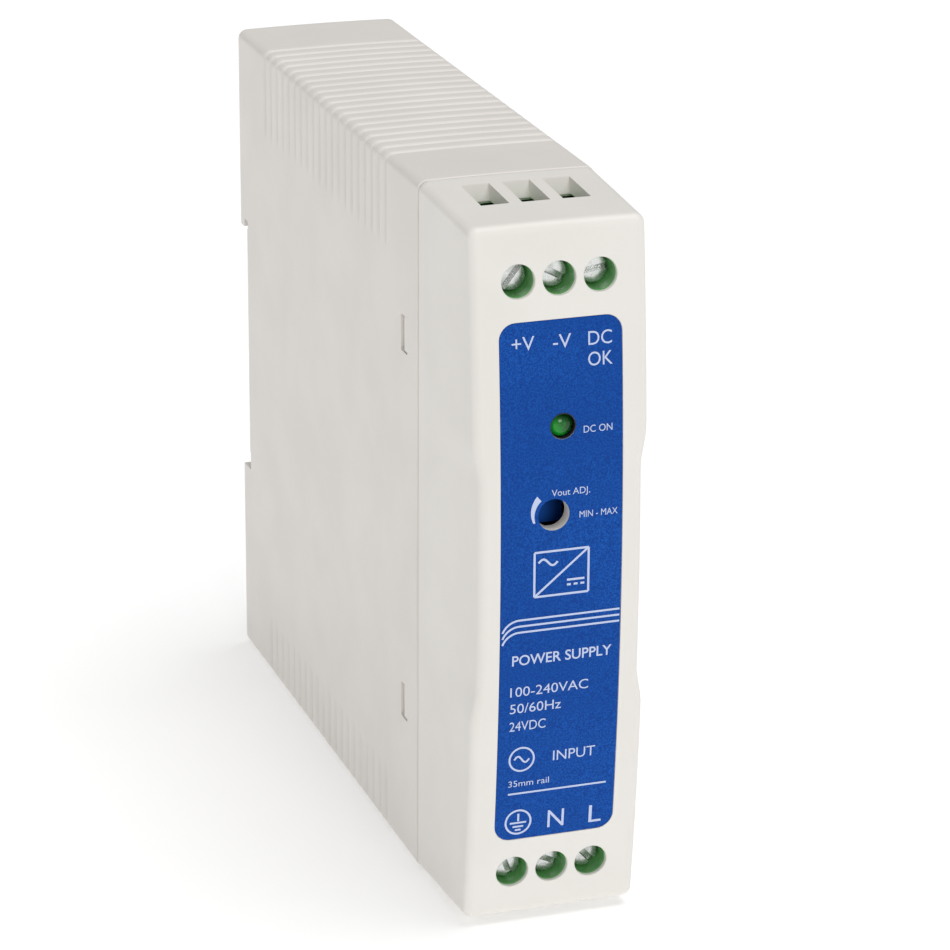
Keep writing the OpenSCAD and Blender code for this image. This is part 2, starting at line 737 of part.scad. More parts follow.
module disc_part(at, d, t) {
    x0 = board_x + 2;
    along = [at[0] - t / 2, at[0] + t / 2];
    round_y(x0 + d / 2, at[1], along[0], along[1], d);
    leads(two(at, 0, 5), x0 + d / 2);
}

module thermistor() {
    color([0.12, 0.2, 0.16]) in_frame() disc_part(thermistor_at, 9, 4);
}

module y_capacitor() {
    color([0.13, 0.33, 0.62]) in_frame() disc_part(y_cap_at, 7.5, 3);
}

// A moulded box standing on its leads
module box_part(at, size, points) {
    x0 = board_x + stand;
    span([x0, at[0] - size[1] / 2, at[1] - size[2] / 2],
         [x0 + size[0], at[0] + size[1] / 2, at[1] + size[2] / 2]);
    leads(points, x0 + 1);
}

module x_capacitor() {
    color([0.78, 0.66, 0.2]) in_frame() box_part(x_cap_at, [12, 13, 6], two(x_cap_at, 10, 0));
}

module choke_core() {
    color([0.24, 0.25, 0.26]) in_frame() difference() {
        round_x(choke_at, board_x + 2.2, board_x + 7.2, 12);
        round_x(choke_at, board_x, board_x + 9, 6);
    }
}

// Two windings as saddles over the ring core
module choke_windings() {
    color([0.74, 0.4, 0.2]) in_frame() {
        difference() {
            round_x(choke_at, board_x + 1.4, board_x + 8, 13.6);
            round_x(choke_at, board_x, board_x + 9, 4.4);
            difference() {
                round_x(choke_at, board_x + 2.2 - SLIT, board_x + 7.2 + SLIT, 12 + 2 * SLIT);
                round_x(choke_at, board_x, board_x + 9, 6 - 2 * SLIT);
            }
            span([board_x, choke_at[0] - 8, choke_at[1] - 1.6], [board_x + 9, choke_at[0] + 8, choke_at[1] + 1.6]);
        }
        for (dz = [-4, 4]) leads(two([choke_at[0], choke_at[1] + dz], 8, 0), board_x + 1.6);
    }
}

module bridge_rectifier() {
    color([0.13, 0.13, 0.14]) in_frame()
        box_part(bridge_at, [9.5, 3.6, 12], row(bridge_at, 4, 0, 2.5));
}

module bulk_capacitor() {
    d = 13;
    x = board_x + stand + d / 2;
    y0 = bulk_at[0];
    color([0.1, 0.1, 0.13]) in_frame() {
        difference() {
            round_y(x, bulk_at[1], y0, y0 + 31, d);
            // Rolled groove near the base and the vent cross on the far end
            difference() {
                round_y(x, bulk_at[1], y0 + 2.2, y0 + 3.2, d + 2);
                round_y(x, bulk_at[1], y0, y0 + 5, d - 1);
            }
            span([x - 4, y0 + 30.7, bulk_at[1] - 0.2], [x + 4, y0 + 32, bulk_at[1] + 0.2]);
        }
        for (at = bulk_leads()) {
            round_y(x, at[1], at[0], y0 + 0.5, lead_d);
            round_x(at, board_x - board_t - lead_tail, x + lead_d / 2, lead_d);
        }
    }
}

// A three-legged power part lying along the board, its tab against the heatsink
module power_part(at, points) {
    x0 = board_x + 2.5;
    span([x0, at[0] - 5, at[1] - 4.8], [x0 + 4.2, at[0] + 4.5, at[1] + 4.8]);
    difference() {
        span([x0 + 4.2 - 1.2, at[0] - 11, at[1] - 4.8], [x0 + 4.2, at[0] - 5, at[1] + 4.8]);
        round_x([at[0] - 8, at[1]], x0, x0 + 5, 3.4);
    }
    for (p = points) {
        span([x0 + 1.4, at[0] + 4.5, p[1] - 0.35], [x0 + 1.9, p[0] + 0.25, p[1] + 0.35]);
        span([board_x - board_t - lead_tail, p[0] - 0.25, p[1] - 0.35], [x0 + 1.9, p[0] + 0.25, p[1] + 0.35]);
    }
}

// A bent aluminium plate over a power part
module heatsink(at) {
    x0 = board_x + 6.7 + SLIT;
    color([0.76, 0.77, 0.79]) in_frame() difference() {
        union() {
            span([x0, at[0] - 12, at[1] - 5.6], [x0 + 1.5, at[0] + 9, at[1] + 5.6]);
            span([board_x + stand, at[0] - 12, at[1] + 5.6 - 0.5], [x0 + 1.5, at[0] + 9, at[1] + 6.6]);
        }
        round_x([at[0] - 8, at[1]], x0 - 1, x0 + 3, 3);
    }
}

module mosfet() {
    color([0.12, 0.12, 0.13]) in_frame() power_part(mosfet_at, mosfet_leads());
}

module output_diode() {
    color([0.12, 0.12, 0.13]) in_frame() power_part(diode_at, diode_leads());
}

module heatsink_screws() {
    x1 = board_x + 6.7 + 1.5 + 2 * SLIT;
    color([0.8, 0.8, 0.8]) in_frame() for (at = [mosfet_at, diode_at]) {
        round_x([at[0] - 8, at[1]], x1, x1 + 1.4, 5);
        round_x([at[0] - 8, at[1]], board_x + 4.8, x1 + 0.5, 2.8);
    }
}

module transformer_core() {
    x0 = board_x + 2.4;
    color([0.2, 0.2, 0.21]) in_frame() difference() {
        span([x0, transformer_at[0] - 8, transformer_at[1] - 10], [x0 + 11, transformer_at[0] + 8, transformer_at[1] + 10]);
        for (dz = [-5.8, 5.8])
            span([x0 - 1, transformer_at[0] - 5.8, transformer_at[1] + dz - 2.4],
                 [x0 + 12, transformer_at[0] + 5.8, transformer_at[1] + dz + 2.4]);
    }
}

// Coil former: a tube round the core's middle leg, two cheeks, and a foot with the pins
module transformer_bobbin() {
    x0 = board_x + stand;
    color([0.14, 0.14, 0.15]) in_frame() {
        difference() {
            union() {
                span([x0 + 3, transformer_at[0] - 5.4, transformer_at[1] - 4.2],
                     [x0 + 12.3, transformer_at[0] + 5.4, transformer_at[1] + 4.2]);
                for (x = [x0 + 2.2, x0 + 12.2])
                    span([x, transformer_at[0] - 5.6, transformer_at[1] - 8],
                         [x + 0.9, transformer_at[0] + 5.6, transformer_at[1] + 8]);
            }
            span([x0, transformer_at[0] - 9, transformer_at[1] - 3.5],
                 [x0 + 14, transformer_at[0] + 9, transformer_at[1] + 3.5]);
        }
        span([x0, transformer_at[0] - 10.4, transformer_at[1] - 8],
             [x0 + 1.9, transformer_at[0] + 10.4, transformer_at[1] + 8]);
        for (dz = [-6.8, 6.8])
            span([x0 + 1, transformer_at[0] - 5.6, transformer_at[1] + dz - 1],
                 [x0 + 3, transformer_at[0] + 5.6, transformer_at[1] + dz + 1]);
        leads(transformer_leads(), x0 + 1);
    }
}

module transformer_winding() {
    x0 = board_x + stand + 3.1 + SLIT;
    color([0.86, 0.74, 0.2]) in_frame() difference() {
        span([x0, transformer_at[0] - 5.5, transformer_at[1] - 7.8],
             [x0 + 9.05, transformer_at[0] + 5.5, transformer_at[1] + 7.8]);
        span([x0 - 1, transformer_at[0] - 9, transformer_at[1] - 4.2 - SLIT],
             [x0 + 10, transformer_at[0] + 9, transformer_at[1] + 4.2 + SLIT]);
    }
}

module chip(at, count, length) {
    color([0.1, 0.1, 0.11]) in_frame() {
        span([board_x + 0.6, at[0] - 3.2, at[1] - length / 2], [board_x + 4, at[0] + 3.2, at[1] + length / 2]);
        for (p = ic_leads(at, count)) {
            side = p[0] < at[0] ? 1 : -1;
            inner = p[0] + side * 1.2;
            span([board_x - board_t - lead_tail, p[0] - 0.15, p[1] - 0.25], [board_x + 2.4, p[0] + 0.15, p[1] + 0.25]);
            span([board_x + 2.1, min(p[0], inner), p[1] - 0.25], [board_x + 2.4, max(p[0], inner), p[1] + 0.25]);
        }
    }
}

module output_capacitors() {
    color([0.1, 0.14, 0.3]) in_frame() for (at = output_cap_points()) {
        difference() {
            round_x(at, board_x + stand, board_x + stand + 12.5, 8);
            difference() {
                round_x(at, board_x + 1.8, board_x + 2.6, 10);
                round_x(at, board_x + 1, board_x + 3, 7.3);
            }
        }
        leads(two(at, 0, 3.5), board_x + 1);
    }
}

module inductor_core() {
    x0 = board_x + stand;
    color([0.25, 0.25, 0.26]) in_frame() {
        round_x(inductor_at, x0, x0 + 1.6, 9);
        round_x(inductor_at, x0, x0 + 10, 4);
        round_x(inductor_at, x0 + 8.4, x0 + 10, 9);
        leads(two(inductor_at, 5, 0), x0 + 0.5);
    }
}

module inductor_winding() {
    x0 = board_x + stand + 1.6;
    color([0.76, 0.42, 0.2]) in_frame() difference() {
        round_x(inductor_at, x0 + SLIT, x0 + 6.8 - SLIT, 8);
        round_x(inductor_at, x0 - 1, x0 + 8, 4 + 2 * SLIT);
    }
}

module film_capacitor() {
    color([0.7, 0.16, 0.13]) in_frame() box_part(film_at, [8, 10, 4.5], two(film_at, 7.5, 0));
}

module resistors() {
    x = board_x + 1.6;
    color([0.75, 0.68, 0.5]) in_frame() for (at = resistor_points()) {
        round_y(x, at[1], at[0] - 3, at[0] + 3, 2.2);
        round_y(x, at[1], at[0] - 5, at[0] + 5, lead_d - 0.1);
        leads(two(at, 10, 0), x + lead_d / 2);
    }
}

rear_case();
front_cover();
front_label();
insulation_sheet();
rail_clip();
clip_spring();
front_board();
main_board();
board_link_pins();
board_link_spacer();
terminal_block(true);  // output_terminal_block
terminal_block(false);  // input_terminal_block
terminal_screw(true, 1, -52);  // output_screw_1
terminal_screw(true, 2, 28);  // output_screw_2
terminal_screw(true, 3, -8);  // output_screw_3
terminal_screw(false, 1, 70);  // input_screw_1
terminal_screw(false, 2, 24);  // input_screw_2
terminal_screw(false, 3, 48);  // input_screw_3
clamp_cage(true, 1);  // output_clamp_1
clamp_cage(true, 2);  // output_clamp_2
clamp_cage(true, 3);  // output_clamp_3
clamp_cage(false, 1);  // input_clamp_1
clamp_cage(false, 2);  // input_clamp_2
clamp_cage(false, 3);  // input_clamp_3
contacts(true);  // output_contacts
contacts(false);  // input_contacts
led_lens();
led_leads();
led_spacer();
trimmer_body();
trimmer_rotor();
trimmer_pins();
fuse_tube();
fuse_caps();
thermistor();
x_capacitor();
choke_core();
choke_windings();
y_capacitor();
bridge_rectifier();
bulk_capacitor();
mosfet();
heatsink(mosfet_at);  // mosfet_heatsink
heatsink_screws();
transformer_core();
transformer_bobbin();
transformer_winding();
chip(controller_at, 4, 9.6);  // controller_chip
chip(opto_at, 2, 4.8);  // optocoupler
output_diode();
heatsink(diode_at);  // diode_heatsink
output_capacitors();
inductor_core();
inductor_winding();
film_capacitor();
resistors();
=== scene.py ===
import json
import math
import bmesh
import bpy
from mathutils import Matrix, Vector


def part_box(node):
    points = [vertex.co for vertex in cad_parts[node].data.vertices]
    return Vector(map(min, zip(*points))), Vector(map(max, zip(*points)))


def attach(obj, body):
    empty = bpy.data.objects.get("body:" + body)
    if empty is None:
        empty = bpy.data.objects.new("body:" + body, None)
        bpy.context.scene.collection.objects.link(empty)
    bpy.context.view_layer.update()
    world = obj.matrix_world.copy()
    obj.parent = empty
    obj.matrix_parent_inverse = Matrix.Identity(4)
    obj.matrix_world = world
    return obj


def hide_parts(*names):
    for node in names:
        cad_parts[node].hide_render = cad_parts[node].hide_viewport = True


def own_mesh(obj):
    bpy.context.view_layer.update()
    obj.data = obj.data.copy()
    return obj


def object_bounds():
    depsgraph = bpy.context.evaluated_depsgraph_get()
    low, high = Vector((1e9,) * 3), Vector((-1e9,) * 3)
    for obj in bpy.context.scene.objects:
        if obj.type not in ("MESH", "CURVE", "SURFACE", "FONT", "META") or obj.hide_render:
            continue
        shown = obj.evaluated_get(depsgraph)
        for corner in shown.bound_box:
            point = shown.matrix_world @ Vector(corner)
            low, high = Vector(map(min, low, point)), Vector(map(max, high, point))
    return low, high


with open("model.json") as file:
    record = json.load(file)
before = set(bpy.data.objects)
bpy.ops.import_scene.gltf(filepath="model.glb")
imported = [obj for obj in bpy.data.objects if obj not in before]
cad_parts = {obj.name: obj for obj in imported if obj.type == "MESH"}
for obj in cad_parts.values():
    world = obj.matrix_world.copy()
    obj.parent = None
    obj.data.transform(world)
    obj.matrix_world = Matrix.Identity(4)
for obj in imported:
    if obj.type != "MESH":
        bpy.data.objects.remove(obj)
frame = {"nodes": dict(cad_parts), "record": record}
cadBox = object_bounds()
nodes = frame["nodes"]
mm = 0.001

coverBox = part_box("front_cover")
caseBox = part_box("rear_case")
frontY = coverBox[0].y                        # the foremost point of the bowed front
middleZ = (caseBox[0].z + caseBox[1].z) / 2
caseDeep = (caseBox[1].y - frontY) / mm
halfWide = (caseBox[1].x - caseBox[0].x) / 2 / mm
halfTall = (caseBox[1].z - caseBox[0].z) / 2 / mm
print("frame loaded:", len(nodes), "nodes")


# Everything is drawn in millimetres: across, behind the front, and above mid-height
def place(across, depth, height):
    return Vector((across * mm, frontY + depth * mm, middleZ + height * mm))


def middleOf(node):
    low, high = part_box(node)
    return (low.x + high.x) / 2 / mm, ((low.z + high.z) / 2 - middleZ) / mm


def ease(start, end, value):
    t = min(max((value - start) / (end - start), 0), 1)
    return t * t * (3 - 2 * t)


# Node materials from one small socket class

class Value:
    def __init__(self, finish, socket):
        self.finish = finish
        self.socket = socket

    def math(self, operation, first, second=None):
        sockets = {0: first} if second is None else {0: first, 1: second}
        return self.finish.node("Math", {"operation": operation}, sockets)

    def __add__(self, other):
        return self.math("ADD", self, other)

    def __radd__(self, other):
        return self.math("ADD", other, self)

    def __sub__(self, other):
        return self.math("SUBTRACT", self, other)

    def __rsub__(self, other):
        return self.math("SUBTRACT", other, self)

    def __mul__(self, other):
        return self.math("MULTIPLY", self, other)

    def __rmul__(self, other):
        return self.math("MULTIPLY", other, self)

    def wave(self):
        return self.math("SINE", self)

    def between(self, low, high):
        settings = {"interpolation_type": "SMOOTHSTEP"}
        return self.finish.node("MapRange", settings, {"Value": self, "From Min": low, "From Max": high})


class Finish:
    def __init__(self, name):
        self.material = bpy.data.materials.new(name)
        self.material.use_nodes = True
        self.tree = self.material.node_tree
        self.tree.nodes.clear()
        self.output = self.tree.nodes.new("ShaderNodeOutputMaterial")
        self.shader = self.tree.nodes.new("ShaderNodeBsdfPrincipled")
        self.tree.links.new(self.shader.outputs[0], self.output.inputs["Surface"])

    def feed(self, socket, given):
        if isinstance(given, Value):
            self.tree.links.new(given.socket, socket)
        elif isinstance(given, (tuple, list)) and len(given) == 3 and socket.type == "RGBA":
            socket.default_value = (*given, 1)
        else:
            socket.default_value = given

    def node(self, kind, settings=None, sockets=None, out=0):
        made = self.tree.nodes.new("ShaderNode" + kind)
        for name, setting in (settings or {}).items():
            setattr(made, name, setting)
        for name, given in (sockets or {}).items():
            self.feed(made.inputs[name], given)
        return Value(self, made.outputs[out])

    def where(self):
        return self.node("TexCoord", None, None, "Object")

    def axis(self, name):
        return self.node("SeparateXYZ", None, {0: self.where()}, name)

    def grain(self, perMillimetre, detail=3, roughness=0.55, stretch=(1, 1, 1), distortion=0):
        scaled = self.node("VectorMath", {"operation": "MULTIPLY"}, {0: self.where(), 1: stretch})
        return self.node("TexNoise", None, {"Vector": scaled, "Scale": perMillimetre / mm, "Detail": detail,
                                            "Roughness": roughness, "Distortion": distortion})

    def blend(self, amount, first, second):
        settings = {"data_type": "RGBA", "clamp_factor": True}
        return self.node("Mix", settings, {0: amount, 6: first, 7: second}, 2)

    def bump(self, height, strength, depth):
        return self.node("Bump", None, {"Height": height, "Strength": strength, "Distance": depth * mm})

    def surface(self, **given):
        for name, value in given.items():
            self.feed(self.shader.inputs[name.replace("_", " ")], value)
        return self.material


# Moulded plastic: a spark-eroded grain, faint flow clouds and a few paler specks
def mouldedPlastic(name, color, shade, roughness, pitch=7, relief=0.011, clouds=0.25, coat=0.0):
    f = Finish(name)
    fine = f.grain(pitch, 4, 0.62)
    cloud = f.grain(0.09, 3, 0.5)
    speck = f.grain(pitch * 0.45, 2, 0.5).between(0.62, 0.74)
    tone = f.blend(cloud.between(0.3, 0.7) * clouds, color, shade)
    tone = f.blend(speck * 0.12, tone, shade)
    return f.surface(Base_Color=tone, Roughness=roughness + (fine - 0.5) * 0.22 + (cloud - 0.5) * 0.08,
                     Normal=f.bump(fine, 0.5, relief), Coat_Weight=coat, Coat_Roughness=0.25)


# Metal with turned or drawn marks along one direction, and slightly dulled patches, which on the plated screws
# are strong dark painted reflections
def workedMetal(name, color, dullAndReflectionTone, roughness, stretch=(1, 1, 1), pitch=9, relief=0.004, dullAndReflectionAmount=0.4):
    f = Finish(name)
    marks = f.grain(pitch, 3, 0.6, stretch)
    patch = f.grain(0.7, 4, 0.6)
    tone = f.blend(patch.between(0.42, 0.7) * dullAndReflectionAmount, color, dullAndReflectionTone)
    tone = f.blend(marks.between(0.5, 0.8) * 0.25, tone, dullAndReflectionTone)
    return f.surface(Base_Color=tone, Metallic=0.95, Roughness=roughness + (marks - 0.5) * 0.25 + patch * 0.1,
                     Normal=f.bump(marks, 0.35, relief))


# Dipped or poured resin: smooth, with a slow waviness and small pits
def dippedResin(name, color, shade, roughness=0.3, pitch=0.9):
    f = Finish(name)
    slow = f.grain(pitch, 3, 0.5)
    pits = f.grain(6, 2, 0.5).between(0.68, 0.8)
    tone = f.blend(slow.between(0.3, 0.75) * 0.6, color, shade)
    height = slow - pits * 0.4
    return f.surface(Base_Color=f.blend(pits * 0.5, tone, shade), Roughness=roughness + (slow - 0.5) * 0.2,
                     Normal=f.bump(height, 0.5, 0.05), Coat_Weight=0.3, Coat_Roughness=0.12)


# Blue film with a fine leather-like speckle, a little darker in its grain
def labelInk(name):
    f = Finish(name)
    speckle = f.grain(4.6, 3, 0.7)
    drift = f.grain(0.05, 2, 0.5)
    tone = f.blend(speckle.between(0.36, 0.66), labelFinish["deep"], labelFinish["pale"])
    tone = f.blend(drift.between(0.35, 0.65) * 0.35, tone, labelFinish["deep"])
    return f.surface(Base_Color=tone, Roughness=0.45 + (speckle - 0.5) * 0.2, Specular_IOR_Level=0.12,
                     Normal=f.bump(speckle, 0.3, 0.006))


def printedInk(name, color):
    f = Finish(name)
    breaks = f.grain(9, 3, 0.7)
    tone = f.blend(breaks.between(0.55, 0.85) * 0.35, color, labelFinish["pale"])
    return f.surface(Base_Color=tone, Roughness=0.45 + (breaks - 0.5) * 0.15,
                     Normal=f.bump(breaks, 0.3, 0.004), Specular_IOR_Level=0.2)


# Solder mask over laminate: darker where no copper lies under it, with a weave just showing
def solderMask(name):
    f = Finish(name)
    along, up = f.axis("Y"), f.axis("Z")
    weave = (along * 9000).wave() * (up * 9000).wave()
    cells = {"Vector": f.where(), "Scale": 260}
    copper = f.node("TexVoronoi", {"feature": "DISTANCE_TO_EDGE"}, cells, "Distance")
    track = copper.between(0.03, 0.06)
    tone = f.blend(track, (0.012, 0.085, 0.032), (0.02, 0.19, 0.07))
    tone = f.blend(weave.between(0.2, 0.9) * 0.15, tone, (0.05, 0.26, 0.11))
    return f.surface(Base_Color=tone, Roughness=0.3 + weave * 0.05,
                     Normal=f.bump(track + weave * 0.1, 0.4, 0.03), Coat_Weight=0.25)


# Turns of round wire lying side by side along one axis, with painted shade in the gaps between turns and
# darker random streaks
def woundWire(name, color, gap, axis, pitch):
    f = Finish(name)
    turns = (f.axis(axis) * (math.pi / pitch / mm)).wave()
    crest = turns * turns
    streak = f.grain(1.4, 3, 0.5)
    # Painted shade: the colour darkens in the gap between each pair of turns
    tone = f.blend(crest.between(0.02, 0.35), gap, color)
    tone = f.blend(streak.between(0.5, 0.8) * 0.4, tone, gap)
    return f.surface(Base_Color=tone, Metallic=0.6, Roughness=0.28 + streak * 0.15,
                     Normal=f.bump(crest, 0.8, pitch * 0.4), Coat_Weight=0.4, Coat_Roughness=0.15)


def woundTape(name, color, shade):
    f = Finish(name)
    layers = (f.axis("X") * (math.pi / 1.6 / mm)).wave()
    wrinkle = f.grain(1.1, 4, 0.6, (1, 1, 0.3))
    tone = f.blend(layers.between(0.85, 1) * 0.5 + wrinkle.between(0.5, 0.8) * 0.3, color, shade)
    return f.surface(Base_Color=tone, Roughness=0.28 + wrinkle * 0.2,
                     Normal=f.bump(wrinkle + layers * 0.2, 0.4, 0.05), Coat_Weight=0.3)


# Clear or milky film and glass: mostly gloss over a tint, thinned by alpha that drifts a little
def clearBody(name, color, alpha, roughness, cloud=0.1):
    f = Finish(name)
    drift = f.grain(0.5, 3, 0.5)
    tone = f.blend(drift.between(0.3, 0.7) * 0.3, color, tuple(c * 0.8 for c in color))
    return f.surface(Base_Color=tone, Roughness=roughness + drift * 0.08, Alpha=alpha + (drift - 0.5) * cloud,
                     Normal=f.bump(drift, 0.2, 0.02), Coat_Weight=0.5, Coat_Roughness=0.08)


# The lens: deep green, with painted light: a paler body painted on its lower left, where light would gather
def lensFinish(name):
    f = Finish(name)
    x, z = middleOf("led_lens")
    across, up = f.axis("X"), f.axis("Z")
    # Painted light: the green grows paler towards the lower left of the lens
    paintedLightSlope = (up - (middleZ + z * mm)) * -0.35 - (across - x * mm) * 0.75
    glow = paintedLightSlope.between(-0.0006, 0.0016)
    haze = f.grain(1.6, 3, 0.5)
    tone = f.blend(glow, (0.001, 0.045, 0.004), (0.01, 0.44, 0.035))
    tone = f.blend(haze.between(0.45, 0.8) * 0.25, tone, (0.05, 0.5, 0.1))
    return f.surface(Base_Color=tone, Roughness=0.14 + haze * 0.06, Normal=f.bump(haze, 0.15, 0.01),
                     Coat_Weight=0.35, Coat_Roughness=0.03, Specular_IOR_Level=0.25)


labelFinish = {"deep": (0.001, 0.046, 0.27), "pale": (0.007, 0.10, 0.46), "print": (0.56, 0.64, 0.86)}
plastic = {
    "case": (0.80, 0.765, 0.725), "caseShade": (0.68, 0.645, 0.60),
    "cover": (0.835, 0.81, 0.765), "coverShade": (0.74, 0.71, 0.66),
    "green": (0.13, 0.42, 0.12), "greenShade": (0.06, 0.24, 0.055)}

finishes = {
    "case_plastic": mouldedPlastic("casePlastic", plastic["case"], plastic["caseShade"], 0.4, 7, 0.008),
    "cover_plastic": mouldedPlastic("coverPlastic", plastic["cover"], plastic["coverShade"], 0.42, 8, 0.007),
    "label_film": labelInk("labelFilm"),
    "insulation_film": clearBody("insulatingFilm", (0.82, 0.8, 0.7), 0.82, 0.3),
    "spring_steel": workedMetal("springSteel", (0.6, 0.61, 0.63), (0.35, 0.35, 0.36), 0.25, (1, 1, 5)),
    "board_green": solderMask("solderMask"),
    "gold_pin": workedMetal("goldFlash", (0.8, 0.56, 0.2), (0.55, 0.38, 0.15), 0.25, (1, 0.1, 1)),
    "black_plastic": mouldedPlastic("blackMoulding", (0.022, 0.022, 0.024), (0.04, 0.04, 0.042), 0.5, 6, 0.01),
    "terminal_green": mouldedPlastic(
        "terminalGreen", plastic["green"], plastic["greenShade"], 0.4, 7, 0.006, 0.35),
    # Plated screws: the strong dark patches are painted reflections
    "plated_screw": workedMetal(
        "zincPlate", (0.76, 0.77, 0.76), (0.26, 0.28, 0.26), 0.2, (1, 0.2, 1), 5, 0.012, 0.5),
    "clamp_brass": workedMetal("clampBrass", (0.55, 0.38, 0.16), (0.3, 0.2, 0.09), 0.32, (1, 1, 0.15)),
    "contact_copper": workedMetal(
        "darkCopper", (0.45, 0.24, 0.12), (0.2, 0.1, 0.055), 0.38, (1, 1, 0.2), 9, 0.005, 0.7),
    "lens_green": lensFinish("greenLens"),
    "tinned_lead": workedMetal("tinnedWire", (0.66, 0.66, 0.64), (0.42, 0.42, 0.41), 0.3),
    "white_plastic": mouldedPlastic("whiteMoulding", (0.8, 0.79, 0.74), (0.68, 0.66, 0.6), 0.45),
    "trimmer_blue": mouldedPlastic("trimmerBlue", (0.02, 0.17, 0.78), (0.01, 0.1, 0.52), 0.34, 7, 0.006, 0.4),
    "fuse_glass": clearBody("fuseGlass", (0.78, 0.86, 0.86), 0.38, 0.06),
    "dark_resin": dippedResin("darkResin", (0.02, 0.055, 0.03), (0.01, 0.025, 0.015)),
    "yellow_box": mouldedPlastic("yellowBox", (0.62, 0.42, 0.05), (0.45, 0.29, 0.03), 0.3, 5, 0.008, 0.4, 0.3),
    "ferrite": dippedResin("sinteredFerrite", (0.05, 0.05, 0.055), (0.1, 0.1, 0.105), 0.5, 3.2),
    "magnet_wire": woundWire("magnetWire", (0.52, 0.2, 0.06), (0.1, 0.03, 0.01), "Y", 0.6),
    "blue_resin": dippedResin("blueResin", (0.02, 0.11, 0.42), (0.01, 0.05, 0.22)),
    "capacitor_sleeve": mouldedPlastic(
        "shrinkSleeve", (0.02, 0.02, 0.045), (0.05, 0.05, 0.09), 0.22, 2, 0.006, 0.4, 0.4),
    "heatsink_metal": workedMetal(
        "rolledAluminium", (0.66, 0.67, 0.69), (0.48, 0.48, 0.5), 0.34, (1, 0.05, 1), 8, 0.006),
    "winding_tape": woundTape("windingTape", (0.72, 0.52, 0.06), (0.5, 0.34, 0.03)),
    "red_resin": dippedResin("redResin", (0.42, 0.03, 0.02), (0.22, 0.015, 0.01)),
    "resistor_tan": dippedResin("resistorLacquer", (0.5, 0.4, 0.22), (0.36, 0.28, 0.15), 0.4, 1.6),
}
printFinish = printedInk("labelPrint", labelFinish["print"])
print("finishes made:", len(finishes))


def paint(obj, material):
    obj.data.materials.clear()
    obj.data.materials.append(material)


# Every CAD node takes the finish of its record slot, and sharp CAD edges get a small radius
slots = {part["node"]: part["material_slot"] for part in frame["record"]["subparts"]}
edgeRadius = {
    "rail_clip": 0.22, "output_terminal_block": 0.18, "input_terminal_block": 0.18,
    "output_contacts": 0.07, "input_contacts": 0.07, "trimmer_body": 0.15, "trimmer_rotor": 0.1,
    "bridge_rectifier": 0.3, "mosfet": 0.15,
    "transformer_core": 0.25, "transformer_bobbin": 0.12, "x_capacitor": 0.3, "film_capacitor": 0.3,
    "optocoupler": 0.12, "controller_chip": 0.12, "board_link_spacer": 0.1, "led_spacer": 0.1}
edgeRadius.update({name: 0.12 for name in nodes if "_clamp_" in name})


def soften(obj, radius, segments=2):
    weld = obj.modifiers.new("weld", "WELD")
    weld.merge_threshold = 0.000002
    bevel = obj.modifiers.new("edges", "BEVEL")
    bevel.width = radius * mm
    bevel.segments = segments
    bevel.limit_method = "ANGLE"
    bevel.angle_limit = math.radians(35)
    bevel.harden_normals = True
    bevel.use_clamp_overlap = True
    level = obj.modifiers.new("normals", "WEIGHTED_NORMAL")
    level.keep_sharp = True


for name, obj in nodes.items():
    paint(obj, finishes[slots[name]])
    if name in edgeRadius:
        soften(obj, edgeRadius[name])
print("CAD nodes finished")


# Meshes in millimetres, placed on the frame

def newObject(name, mesh, material):
    obj = bpy.data.objects.new(name, mesh)
    bpy.context.scene.collection.objects.link(obj)
    if material:
        paint(obj, material)
    return obj


# One ring of a rounded rectangle, from the top middle down the right side and back up the left.
# Each point is (across, height, outward across, outward height).
def outline(wide, tall, radius, crown, heights, flats=6, corner=6):
    right = []
    for i in range(flats):
        x = (wide - radius) * i / flats
        right.append((x, tall - crown * (x / wide) ** 2, 0, 1))
    drop = crown * ((wide - radius) / wide) ** 2
    for i in range(corner + 1):
        turn = math.pi / 2 * (1 - i / corner)
        right.append((wide - radius + radius * math.cos(turn), tall - drop - radius + radius * math.sin(turn),
                      math.cos(turn), math.sin(turn)))
    lower = [(x, -z, nx, -nz) for x, z, nx, nz in reversed(right)]
    right += [(wide, h, 1, 0) for h in heights] + lower
    return right + [(-x, z, -nx, nz) for x, z, nx, nz in reversed(right[1:-1])]


# A solid through rings of equal length. An end is flat, or follows the depth that front or back gives it.
def ringSolid(rings, front=None, back=None):
    mesh = bmesh.new()
    made = [[mesh.verts.new(place(*p)) for p in ring] for ring in rings]
    count = len(rings[0])
    for near, far in zip(made, made[1:]):
        for i in range(count):
            mesh.faces.new((near[i], near[(i + 1) % count], far[(i + 1) % count], far[i]))
    for ring, points, surface in ((made[0], rings[0], front), (made[-1], rings[-1], back)):
        if surface:
            fillBowed(mesh, ring, points, surface)
        else:
            mesh.faces.new(ring)
    return closed(mesh)


# Steps inwards from a ring to its middle line, so the face can follow a bow
def fillBowed(mesh, ring, points, surface, steps=5):
    count = len(ring)
    heights = [p[2] for p in points]
    middle = (max(heights) + min(heights)) / 2
    tall = max(heights) - middle
    reach = max(p[0] for p in points)
    inner = ring
    for step in range(1, steps + 1):
        u = 0.88 * step / steps
        following = []
        for x, _, z in points:
            height = middle + (z - middle) * (1 - u * reach / tall)
            following.append(mesh.verts.new(place(x * (1 - u), surface(height), height)))
        for i in range(count):
            mesh.faces.new((inner[i], inner[(i + 1) % count], following[(i + 1) % count], following[i]))
        inner = following
    for i in range(count // 2):
        corners = []
        for v in (inner[i], inner[i + 1], inner[-(i + 1) % count], inner[-i % count]):
            if v not in corners:
                corners.append(v)
        if len(corners) > 2:
            mesh.faces.new(corners)


